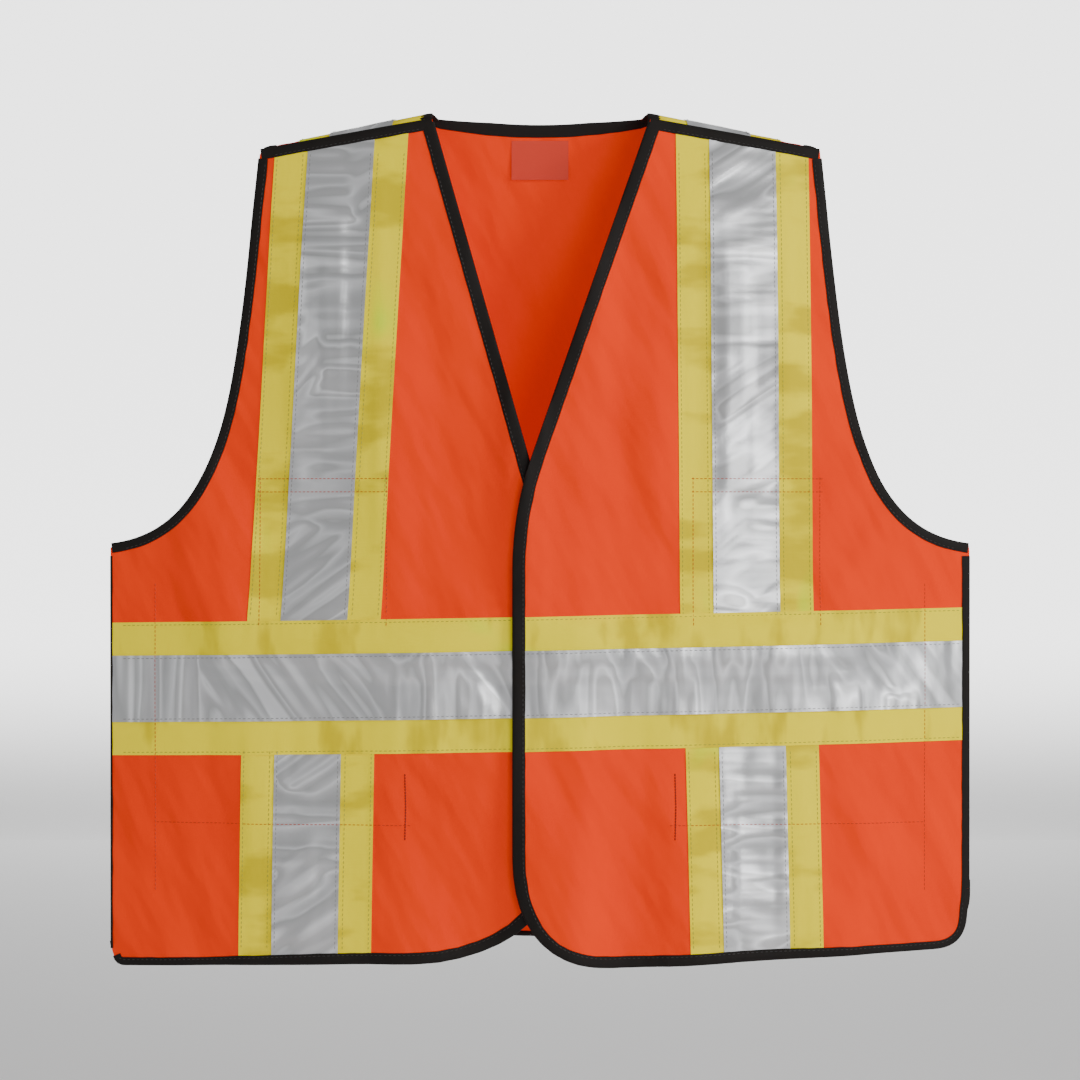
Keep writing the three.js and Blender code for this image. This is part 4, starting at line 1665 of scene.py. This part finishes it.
    def build_pockets(self) -> list[bpy.types.Object]:
        """Make the two patch pockets inside.

        Returns:
            The pockets.
        """
        made = []
        for label in ("chest", "lower"):
            node = f"{self.word}_{label}_pocket"
            low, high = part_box(node)
            edge = points((low[0], 0), (high[0], 0), (high[0], 1), (low[0], 1))
            bottom = np.maximum(
                low[2] + self.body.origin_height, self.hem_height(edge[:, 0]) + self.binding_width + 1 * MM
            )
            edge[:, 1] = np.where(edge[:, 1] > 0, high[2] + self.body.origin_height, bottom)
            region = filled(edge, 8 * MM)
            piece = sheet(f"{node}_cloth", region, self.shell, -0.75 * MM, -0.15 * MM, self.wardrobe.knit)
            dressed(piece, self.rigid, Slot.ORANGE, node)
            declare_cloth(region, [f"{self.word}_front_panel_cloth"])
            made.append(piece)
        return made

    def pocket_lines(self) -> list[np.ndarray]:
        """The stitch lines of the pockets, as seen outside."""
        sign = self.plan.side.sign
        chest_low, chest_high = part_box(f"{self.word}_chest_pocket")
        lower_low, lower_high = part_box(f"{self.word}_lower_pocket")
        rise = self.body.origin_height
        inner = min(abs(chest_low[0]), abs(chest_high[0]))
        outer = max(abs(chest_low[0]), abs(chest_high[0]))
        low_inner = min(abs(lower_low[0]), abs(lower_high[0]))
        low_outer = max(abs(lower_low[0]), abs(lower_high[0]))
        top, low_top = chest_high[2] + rise, lower_high[2] + rise
        bottom = chest_low[2] + rise
        return [
            points((sign * inner, top - 2 * MM), (sign * outer, top - 2 * MM)),
            points((sign * inner, top - 12 * MM), (sign * outer, top - 12 * MM)),
            points((sign * inner, bottom), (sign * inner, top - 2 * MM)),
            points((sign * (outer - 1 * MM), bottom), (sign * (outer - 1 * MM), top - 2 * MM)),
            points((sign * (low_inner + 3 * MM), low_top - 36 * MM), (sign * low_outer, low_top - 36 * MM)),
        ]

    def pocket_opening(self) -> np.ndarray:
        """The line of the lower pocket's opening, beside the vertical tape."""
        low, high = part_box(f"{self.word}_lower_pocket")
        x = self.plan.side.sign * (min(abs(low[0]), abs(high[0])) + 6 * MM)
        top = high[2] + self.body.origin_height
        return points((x, top + 2 * MM), (x + 0.6 * MM, top - 0.022), (x, top - 0.046))

    def build_stitching(self) -> list[bpy.types.Object]:
        """Make the thread of every seam, and the dark thread rows that stand for painted shadow beside the
        silver's edges.

        Returns:
            The pieces of thread.
        """
        body, wear, word = self.body, self.wardrobe, self.word
        half_lime, half_silver = body.lime_width / 2, body.silver_width / 2
        band_top, band_bottom = body.band_height + half_lime, body.band_height - half_lime
        spans = [
            (band_top + 2 * MM, float(self.shoulder_edge(np.array([0.16]))[0]) - 14 * MM),
            (float(self.hem_height(np.array([0.16]))[0]) + 12 * MM, band_bottom - 2 * MM),
        ]
        lime, silver, black = [], [], []
        for low, high in spans:
            h = np.linspace(low, high, 40)
            for aside in (-1, 1):
                for half, rows in ((half_lime, lime), (half_silver, silver)):
                    x = self.tape_x(h) + aside * (half - 2.2 * MM)
                    rows.append(Seam(np.stack([x, h], axis=1), Rise(self.top, 0.10 * MM)))
                # Dark olive rows just outside the silver's edges: painted shadow of those edges, laid as
                # stitches.
                x = self.tape_x(h) + aside * (half_silver + 3.4 * MM)
                lime.append(Seam(np.stack([x, h], axis=1), Rise(self.top, 0.10 * MM)))
        band = self.band(body.lime_width).places
        x = np.linspace(band[:, 0].min() + 10 * MM, band[:, 0].max() - 8 * MM, 40)
        for aside in (-1, 1):
            for half, rows in ((half_lime, lime), (half_silver, silver)):
                line = np.stack([x, body.band_centre(x) + aside * (half - 2.2 * MM)], axis=1)
                rows.append(Seam(line, Rise(self.top, 0.10 * MM)))
        for key in self.edges:
            if key == "side":
                continue
            line = stretch(spaced(self.edges[key], 2 * MM), 12 * MM, -12 * MM)
            even = {"arm": 0.76, "shoulder": 0.86}.get(key, 1.0)
            share = self.hem_share(line) if key == "opening" else np.full(len(line), even)
            inner = line + inward_normals(line) * (self.binding_width * share - 1.8 * MM)[:, None]
            black.append(Seam(inner, Rise(self.top, 0.74 * MM)))
        orange = [Seam(line, Rise(self.top, 0.12 * MM), pitch=3.2 * MM) for line in self.pocket_lines()]
        opening = [Seam(self.pocket_opening(), Rise(self.top, 0.10 * MM), 2.2 * MM, 2.4 * MM, 1.0 * MM)]
        x_side = self.plan.side.sign * (body.half_width - 0.036)
        hook_line = points((x_side, 0.062), (x_side, 0.294))
        orange.append(Seam(hook_line, Rise(self.top, 0.12 * MM), pitch=3.2 * MM))
        return [
            dressed(stitched(f"{word}_front_{colour}_stitches", rows, self.shell, thread), self.rigid, slot)
            for colour, rows, thread, slot in (
                ("lime", lime, wear.lime_thread, Slot.LIME),
                ("silver", silver, wear.silver_thread, Slot.SILVER),
                ("black", black, wear.black_thread, Slot.BLACK),
                ("orange", orange, wear.orange_thread, Slot.ORANGE),
                ("pocket", opening, wear.dark_thread, Slot.ORANGE),
            )
        ]

    def build_hooks(self) -> list[bpy.types.Object]:
        """Make the closures that this front carries.

        Returns:
            The strips.
        """
        wear, word, body = self.wardrobe, self.word, self.body
        made = []
        for label in ("shoulder", "side"):
            node = f"{word}_{label}_hook_strip"
            region = strip_region(node, body, label == "shoulder")
            piece = sheet(f"{node}_cloth", region, self.shell, -1.55 * MM, -0.85 * MM, wear.hooks)
            made.append(dressed(piece, self.rigid, Slot.CLOSURE, node))
        if self.plan.side is Side.LEFT:
            node, inner, outer, finish = "front_hook_strip", -2.3 * MM, -0.10 * MM, wear.hooks
        else:
            node, inner, outer, finish = "front_loop_strip", 0.66 * MM, 3.1 * MM, wear.loops
        piece = sheet(f"{node}_cloth", strip_region(node, body, False), self.shell, inner, outer, finish)
        made.append(dressed(piece, self.rigid, Slot.CLOSURE, node))
        return made

    def build(self) -> None:
        """Make the whole front."""
        self.cut()
        region = filled(self.outline(), self.cell)
        node = f"{self.word}_front_panel"
        cloth = sheet(f"{node}_cloth", region, self.shell, 0.0, self.body.cloth, self.wardrobe.knit)
        dressed(cloth, self.rigid, Slot.ORANGE, node)
        sewn = [*self.build_tapes(), *self.build_bindings(), *self.build_stitching(), *self.build_hooks()]
        self.build_pockets()
        declare_cloth(region, [f"{self.word}_side_tab_cloth"])


def strip_region(node: str, body: Body, slanted: bool) -> Region:
    """A hook-and-loop strip's flat region, from its CAD node's box.

    Args:
        node: the CAD node.
        body: the vest's sizes.
        slanted: whether it follows the shoulder's slope.

    Returns:
        The strip's region.
    """
    low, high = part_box(node)
    bottom, top = low[2] + body.origin_height, high[2] + body.origin_height
    x = np.linspace(low[0], high[0], max(int((high[0] - low[0]) / (4 * MM)), 3))
    slope = body.shoulder_drop / (body.shoulder_half_width - body.neck_half_width) if slanted else 0.0
    fall = slope * (high[0] - low[0])
    sign = 1 if low[0] + high[0] > 0 else -1
    start = low[0] if sign > 0 else high[0]
    drop = slope * sign * (x - start)
    rows = np.linspace(bottom + fall, top, max(int((top - bottom) / (4 * MM)), 3))
    return grid([np.stack([x, h - drop], axis=1) for h in rows])


# ---- the back --------------------------------------------------------------------------------


@dataclass
class Back:
    """The back: cloth with its shoulder tabs, bindings, tapes, label and loops."""

    body: Body
    shell: BackShell
    wardrobe: Wardrobe
    binding_width: float = 9 * MM
    lime_thick: float = 0.45 * MM
    silver_thick: float = 0.35 * MM
    layer_gap: float = 0.06 * MM
    cell: float = 6 * MM
    tape_cell: float = 3.6 * MM
    armhole_depth: float = 0.1
    cross_height: float = 0.456
    cross_slope: float = 0.745
    cross_top_x: float = 0.139
    cross_bend_height: float = 0.625
    tab_inner_x: float = 0.083
    tab_outer_x: float = 0.211
    tab_reach: float = 0.044
    corner_eases: tuple = (0.008, 0.030)
    left_hem_rise: float = 0.015
    edges: dict = field(default_factory=dict)

    def cut(self) -> None:
        """Work out the edges of the cloth, laid flat past the shoulder's crest."""
        body = self.body
        arm = body.armhole(body.half_width, body.shoulder_height, self.armhole_depth, 3 * MM)
        outer = np.array([self.tab_outer_x])
        inner = np.array([self.tab_inner_x])
        outer_top = float(self.shell.tab_end(outer, self.tab_reach)[0])
        inner_top = float(self.shell.tab_end(inner, self.tab_reach)[0])
        arm_side = np.concatenate([arm, points((self.tab_outer_x, body.shoulder_height + 0.012),
                                               (self.tab_outer_x, outer_top))])
        dip = body.neck_height - 2 * body.neck_dip
        neck = bezier(points((body.neck_half_width, body.neck_height), (0, dip),
                             (-body.neck_half_width, body.neck_height)), 40)
        tall = points((self.tab_inner_x, inner_top), (self.tab_inner_x, body.neck_height + 0.010))
        neck_side = np.concatenate([tall, neck, mirrored(tall)])
        low, high = body.back_hem_height, body.back_hem_height + self.left_hem_rise
        right_ease, left_ease = self.corner_eases
        hem = eased(points(
            (-body.half_width, low + 2 * right_ease), (-body.half_width, low),
            (body.half_width, high), (body.half_width, high + 2 * left_ease),
        ), [right_ease, left_ease])
        self.edges = {"hem": hem, "left_arm": arm_side, "neck": neck_side, "right_arm": mirrored(arm_side)}

    def outline(self) -> np.ndarray:
        """The cloth's closed outline."""
        edges = self.edges
        return np.concatenate([edges["hem"], edges["left_arm"], edges["neck"], edges["right_arm"]])

    def cross_path(self, sign: int) -> np.ndarray:
        """The middle line of a cross tape, from the waist over one shoulder.

        Args:
            sign: the sign of X at its shoulder.

        Returns:
            The path's places.
        """
        body = self.body
        low = body.band_height + 0.008
        bend_x = self.cross_slope * (self.cross_bend_height - self.cross_height)
        top = float(self.shell.tab_end(np.array([self.cross_top_x]), 0.016)[0])
        lean = (self.cross_top_x - bend_x) / 2
        corners = points(
            (sign * self.cross_slope * (low - self.cross_height), low),
            (sign * (bend_x + lean), self.cross_bend_height + lean / self.cross_slope),
            (sign * self.cross_top_x, top),
        )
        return eased(corners, [0.030])

    def aside(self, flat: np.ndarray, sign: int) -> np.ndarray:
        """How far flat places are from a cross tape's straight run."""
        length = math.hypot(self.cross_slope, 1)
        return np.abs(flat[:, 0] - sign * self.cross_slope * (flat[:, 1] - self.cross_height)) / length

    def over_lift(self, flat: np.ndarray) -> np.ndarray:
        """How much the right cross tape stands out over the left one."""
        aside = self.aside(flat, 1)
        lime = smooth_step((self.body.lime_width / 2 + 2 * MM - aside) / (4 * MM))
        silver = smooth_step((self.body.silver_width / 2 + 2 * MM - aside) / (4 * MM))
        low = smooth_step((self.body.neck_height - 0.04 - flat[:, 1]) / 0.02)
        return low * (lime * (self.lime_thick + 0.35 * MM) + silver * (self.silver_thick + 0.6 * MM))

    def band_lift(self, flat: np.ndarray) -> np.ndarray:
        """How much the back waist band stands out over the ends of the cross tapes."""
        above = smooth_step((flat[:, 1] - (self.body.band_height + 0.006)) / 0.01)
        total = np.zeros(len(flat))
        for sign in (-1, 1):
            aside = self.aside(flat, sign)
            total += smooth_step((self.body.lime_width / 2 + 3 * MM - aside) / (5 * MM)) * 0.9 * MM
            total += smooth_step((self.body.silver_width / 2 + 3 * MM - aside) / (5 * MM)) * 1.0 * MM
        return above * total

    def tape_pair(
        self, name: str, path: np.ndarray, lift: Offset, soft: Creases, sharp: Creases
    ) -> list[bpy.types.Object]:
        """Make a lime tape and the silver tape on it.

        Args:
            name: what both names start with.
            path: the middle line of both.
            lift: how far both stand out over what they cross.
            soft: the lime tape's creases.
            sharp: the silver tape's creases.

        Returns:
            The two tapes.
        """
        body, wear = self.body, self.wardrobe
        lime_in = Rise(body.cloth + self.layer_gap, lift)
        lime_out = lime_in + self.lime_thick + soft
        silver_in = lime_out + self.layer_gap
        silver_out = silver_in + self.silver_thick + sharp
        lime = sheet(f"{name}_lime_tape_cloth", ribbon(path, body.lime_width, self.tape_cell),
                     self.shell, lime_in, lime_out, wear.lime[soft.grain])
        silver = sheet(f"{name}_silver_tape_cloth", ribbon(path, body.silver_width, self.tape_cell),
                       self.shell, silver_in, silver_out, wear.silver[sharp.grain])
        return [
            dressed(lime, "back", Slot.LIME, f"{name}_lime_tape"),
            dressed(silver, "back", Slot.SILVER, f"{name}_silver_tape"),
        ]

    def build_cross(self) -> list[bpy.types.Object]:
        """Make the four cross tapes.

        Returns:
            The tapes.
        """
        made = []
        for sign, word, grain, lift, seed in (
            (1, "left", Grain.LEANING_RIGHT, 0.0, 21.0),
            (-1, "right", Grain.LEANING_LEFT, self.over_lift, 33.0),
        ):
            soft = Creases(0.3 * MM, grain, 0.022, seed)
            sharp = Creases(0.7 * MM, grain, 0.020, seed + 2)
            made += self.tape_pair(f"{word}_cross", self.cross_path(sign), lift, soft, sharp)
        return made

    def build_band(self) -> list[bpy.types.Object]:
        """Make the back waist band.

        Returns:
            Its lime and silver tapes.
        """
        end = self.body.half_width - 0.4 * MM
        path = points((-end, self.body.band_height), (end, self.body.band_height))
        soft = Creases(0.3 * MM, Grain.LEVEL, 0.024, 41.0)
        sharp = Creases(0.8 * MM, Grain.LEVEL, 0.021, 47.0)
        return self.tape_pair("back_waist", path, self.band_lift, soft, sharp)

    def build_bindings(self) -> list[bpy.types.Object]:
        """Make the four bindings, which run over the shoulders with the cloth.

        Returns:
            The bindings.
        """
        made = []
        trims = {"hem": (8 * MM, -20 * MM), "left_arm": (10 * MM, -8 * MM), "neck": (24 * MM, -24 * MM),
                 "right_arm": (8 * MM, -10 * MM)}
        nodes = {"hem": "back_hem_binding", "left_arm": "left_back_armhole_binding",
                 "neck": "back_neck_binding", "right_arm": "right_back_armhole_binding"}
        for key, node in nodes.items():
            line = stretch(spaced(self.edges[key], 1.5 * MM), *trims[key])
            inside = 0.35 if key == "hem" else 1.0
            piece = bound_edge(
                f"{node}_cloth", line, self.shell, self.binding_width, self.wardrobe.binding, inside=inside
            )
            made.append(dressed(piece, "back", Slot.BLACK, node))
        return made

    def build_stitching(self) -> list[bpy.types.Object]:
        """Make the back's thread.

        Returns:
            The pieces of thread.
        """
        body, wear = self.body, self.wardrobe
        lime, silver, black = [], [], []
        for sign in (1, -1):
            path = stretch(spaced(self.cross_path(sign), 2 * MM), 52 * MM, -20 * MM)
            lift = self.over_lift if sign < 0 else 0.0
            for aside in (-1, 1):
                for half, rows, thick in (
                    (body.lime_width / 2, lime, 0.86), (body.silver_width / 2, silver, 1.75),
                ):
                    line = shifted(path, aside * (half - 2.2 * MM))
                    rows.append(Seam(line, Rise(body.cloth + thick * MM, lift)))
        x = np.linspace(-body.half_width + 4 * MM, body.half_width - 4 * MM, 80)
        for aside in (-1, 1):
            for half, rows, thick in (
                (body.lime_width / 2, lime, 0.86), (body.silver_width / 2, silver, 1.75),
            ):
                line = np.stack([x, np.full_like(x, body.band_height + aside * (half - 2.2 * MM))], axis=1)
                rows.append(Seam(line, Rise(body.cloth + thick * MM, self.band_lift)))
        trims = {"hem": (24 * MM, -24 * MM), "left_arm": (14 * MM, -70 * MM), "neck": (64 * MM, -64 * MM),
                 "right_arm": (70 * MM, -14 * MM)}
        for key, (start, end) in trims.items():
            line = stretch(spaced(self.edges[key], 2 * MM), start, end)
            black.append(Seam(shifted(line, self.binding_width - 1.8 * MM), body.cloth + 0.80 * MM))
        return [
            dressed(stitched(f"back_{colour}_stitches", rows, self.shell, thread), "back", slot)
            for colour, rows, thread, slot in (
                ("lime", lime, wear.lime_thread, Slot.LIME),
                ("silver", silver, wear.silver_thread, Slot.SILVER),
                ("black", black, wear.black_thread, Slot.BLACK),
            )
        ]

    def build_label(self) -> bpy.types.Object:
        """Make the blank label inside the neck.

        Returns:
            The label.
        """
        low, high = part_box("neck_label")
        rise = self.body.origin_height
        x = np.linspace(low[0], high[0], 12)
        rows = np.linspace(low[2] + rise, high[2] + rise, 9)
        region = grid([np.stack([x, np.full_like(x, h)], axis=1) for h in rows])

        def sag(flat: np.ndarray) -> np.ndarray:
            """The label's outer face, which hangs further inside lower down."""
            return -0.15 * MM - 1.2 * MM * smooth_step((high[2] + rise - flat[:, 1]) / 0.03)

        inner = Rise(sag, -0.35 * MM)
        piece = sheet("neck_label_cloth", region, self.shell, inner, sag, self.wardrobe.label)
        return dressed(piece, "back", Slot.LABEL, "neck_label")

    def build_loops(self) -> list[bpy.types.Object]:
        """Make the shoulder loop strips on the tabs.

        Returns:
            The strips.
        """
        made = []
        for side in Side:
            node = f"{side.word}_shoulder_loop_strip"
            shell = FrontShell(self.body, self.shell.drape, Side.RIGHT)
            region = strip_region(node, self.body, True)
            piece = sheet(f"{node}_cloth", region, shell, -3.1 * MM, -1.65 * MM, self.wardrobe.loops)
            made.append(dressed(piece, "back", Slot.CLOSURE, node))
        return made

    def build(self) -> None:
        """Make the whole back."""
        self.cut()
        region = filled(self.outline(), self.cell)
        cloth = sheet("back_panel_cloth", region, self.shell, 0.0, self.body.cloth, self.wardrobe.knit)
        dressed(cloth, "back", Slot.ORANGE, "back_panel", "left_shoulder_tab", "right_shoulder_tab")
        sewn = [*self.build_cross(), *self.build_band(), *self.build_bindings(), *self.build_stitching(),
                self.build_label(), *self.build_loops()]
        declare_cloth(region, ["left_side_tab_cloth", "right_side_tab_cloth"])


@dataclass
class SideTab:
    """The tab folded round a side from the back, with its loop strip."""

    side: Side
    body: Body
    drape: Drape
    wardrobe: Wardrobe
    back_reach: float = 9 * MM
    thick: float = 0.5 * MM
    low_tuck: float = 3 * MM
    tuck_height: float = 26 * MM

    def section(self) -> np.ndarray:
        """The tab's middle line across the fold, as X and Y for the left side."""
        body = self.body
        low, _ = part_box("left_side_tab")
        edge = body.half_width
        back_x = np.linspace(edge - self.back_reach, edge - 1.5 * MM, 5)
        back_y = body.bulge(back_x) - 0.05 * MM
        front_x = np.linspace(edge - 1.8 * MM, low[0], 14)
        front_y = -body.bulge(front_x) - body.standoff + 3.5 * MM
        corner = points((back_x[-1], back_y[-1]), (edge + 0.3 * MM, -0.1 * MM), (front_x[0], front_y[0]))
        bend = bezier(corner, 8)
        back = np.stack([back_x, back_y], axis=1)
        front = np.stack([front_x, front_y], axis=1)
        return np.concatenate([back[:-1], bend, front[1:]])

    def build(self) -> None:
        """Make the tab, bend it across the side fold and lay its loop strip on it."""
        word, sign = self.side.word, self.side.sign
        low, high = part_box(f"{word}_side_tab")
        line = self.section()
        normals = inward_normals(line)
        loop = np.concatenate([line + normals * self.thick / 2, (line - normals * self.thick / 2)[::-1]])
        heights = np.linspace(low[2], high[2], 48)
        sides = len(loop)
        tuck = np.zeros(len(heights))
        if self.side is Side.LEFT:
            tuck = self.low_tuck * smooth_step((low[2] + self.tuck_height - heights) / self.tuck_height)
        places = np.array([(sign * (x - t), y, z) for z, t in zip(heights, tuck) for x, y in loop])
        faces = skin(len(heights), sides)
        half = sides // 2
        for base in (0, (len(heights) - 1) * sides):
            faces += [
                (base + k, base + k + 1, base + sides - 2 - k, base + sides - 1 - k) for k in range(half - 1)
            ]
        piece = solid(f"{word}_side_tab_cloth", places, faces, self.wardrobe.knit)
        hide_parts(f"{word}_side_tab")
        fold = sign * self.body.half_width
        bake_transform(piece)
        node = f"{word}_side_loop_strip"
        shell = FrontShell(self.body, self.drape, Side.RIGHT)
        strip = sheet(f"{node}_cloth", strip_region(node, self.body, False), shell, -3.1 * MM, -1.65 * MM,
                      self.wardrobe.loops)
        dressed(strip, f"{word}_tab", Slot.CLOSURE, node)


# ---- studio ----------------------------------------------------------------------------------


@dataclass(frozen=True)
class Studio:
    """A pale floor, a lit backdrop, soft lights and the camera in front of the vest."""

    focal_length: float = 100.0
    fill: float = 0.80
    floor_drop: float = 0.30
    wall_distance: float = 4.2
    wall_half_width: float = 1.7
    wall_glow: float = 2.6

    def build(self, low: Vector, high: Vector) -> None:
        """Set up the studio round the vest.

        Args:
            low: the model's lowest corner.
            high: its highest corner.
        """
        middle = (Vector(low) + Vector(high)) / 2
        size = max(high[0] - low[0], high[2] - low[2])
        self._sweep(middle, low[2] - self.floor_drop)
        self._world()
        self._light("key_light", middle + Vector((2.3, -1.2, 1.2)), middle, 0.7, 42.0)
        self._light("near_light", middle + Vector((1.05, -2.2, 0.25)), middle, 1.05, 18.0)
        self._light("fill_light", middle + Vector((-2.1, -1.5, 0.5)), middle, 1.6, 5.0)
        data = bpy.data.cameras.new("camera")
        data.lens = self.focal_length
        data.sensor_width = 36.0
        distance = size / self.fill * self.focal_length / data.sensor_width
        camera = bpy.data.objects.new("camera", data)
        camera.location = middle + Vector((0, -distance, 0.02))
        camera.rotation_euler = (middle - camera.location).to_track_quat("-Z", "Y").to_euler()
        bpy.context.scene.collection.objects.link(camera)
        bpy.context.scene.camera = camera

    @staticmethod
    def _light(name: str, place: Vector, target: Vector, size: float, power: float) -> None:
        """Add one soft square light aimed at the vest."""
        data = bpy.data.lights.new(name, "AREA")
        data.size = size
        data.energy = power
        light = bpy.data.objects.new(name, data)
        light.location = place
        light.rotation_euler = (target - place).to_track_quat("-Z", "Y").to_euler()
        bpy.context.scene.collection.objects.link(light)

    @staticmethod
    def _world() -> None:
        """Make the surroundings an even pale white."""
        world = bpy.data.worlds.new("studio_world")
        world.use_nodes = True
        background = world.node_tree.nodes["Background"]
        background.inputs["Color"].default_value = rgba(1.0, 1.0, 1.0)
        background.inputs["Strength"].default_value = 0.42
        bpy.context.scene.world = world

    @staticmethod
    def _pale(name: str, glow: float) -> bpy.types.Material:
        """A pale studio surface, which may glow more the higher it is above the floor.

        Args:
            name: the material's name.
            glow: how much light it gives off where it glows most.

        Returns:
            The material.
        """
        tree = ShaderTree(name)
        cloudy = tree.noise(tree.place(), 1.4, 2.0)
        inputs = {
            "Base Color": tree.mix(cloudy, rgba(0.82, 0.82, 0.82), rgba(0.86, 0.86, 0.86)),
            "Roughness": 0.85,
        }
        if glow:
            height = tree.wire(tree.node("ShaderNodeSeparateXYZ", {}, {"Vector": tree.place()}), "Z")
            rise = tree.node(
                "ShaderNodeMapRange", {"interpolation_type": "SMOOTHSTEP"},
                {"Value": height, "From Min": 0.0, "From Max": 0.40},
            )
            inputs["Emission Color"] = tree.mix(tree.wire(rise), rgba(0, 0, 0), rgba(1, 1, 1))
            inputs["Emission Strength"] = glow
        return tree.finish(inputs)

    def _sweep(self, middle: Vector, height: float) -> None:
        """Lay a wide pale floor under the vest and stand a lit wall far behind it."""
        turns = np.linspace(0, 2 * math.pi, 96, endpoint=False)
        disc = [(9 * math.cos(a), 9 * math.sin(a), 0.0) for a in turns]
        half, back, bend = self.wall_half_width, self.wall_distance, 0.6
        profile = [
            (back - bend + bend * math.sin(a), bend - bend * math.cos(a) - 0.002)
            for a in np.linspace(0, math.pi / 2, 17)
        ]
        profile.append((back, 2.9))
        wall = [(x, y, z) for y, z in profile for x in (-half, half)]
        strips = [(2 * i, 2 * i + 1, 2 * i + 3, 2 * i + 2) for i in range(len(profile) - 1)]
        for name, corners, faces, glow in (
            ("floor", disc, [tuple(range(len(disc)))], 0.0), ("backdrop", wall, strips, self.wall_glow),
        ):
            mesh = bpy.data.meshes.new(name)
            mesh.from_pydata(corners, [], faces)
            mesh.shade_smooth()
            mesh.materials.append(self._pale(f"pale_{name}", glow))
            piece = bpy.data.objects.new(name, mesh)
            piece.location = (middle.x, middle.y, height)
            bpy.context.scene.collection.objects.link(piece)


def main() -> None:
    """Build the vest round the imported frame."""
    logging.basicConfig(level=logging.INFO, format="%(name)s %(message)s")
    Studio().build(Vector(CAD_BOX[0]), Vector(CAD_BOX[1]))
    body = Body.from_frame()
    wardrobe = Wardrobe()
    drape = Drape(body)
    fronts = {
        plan.side: Front(plan, body, FrontShell(body, drape, plan.side), wardrobe)
        for plan in (LEFT_PLAN, RIGHT_PLAN)
    }
    Back(body, BackShell(body, drape), wardrobe).build()
    for side in Side:
        SideTab(side, body, drape, wardrobe).build()
        fronts[side].build()


if __name__ == "__main__":
    main()
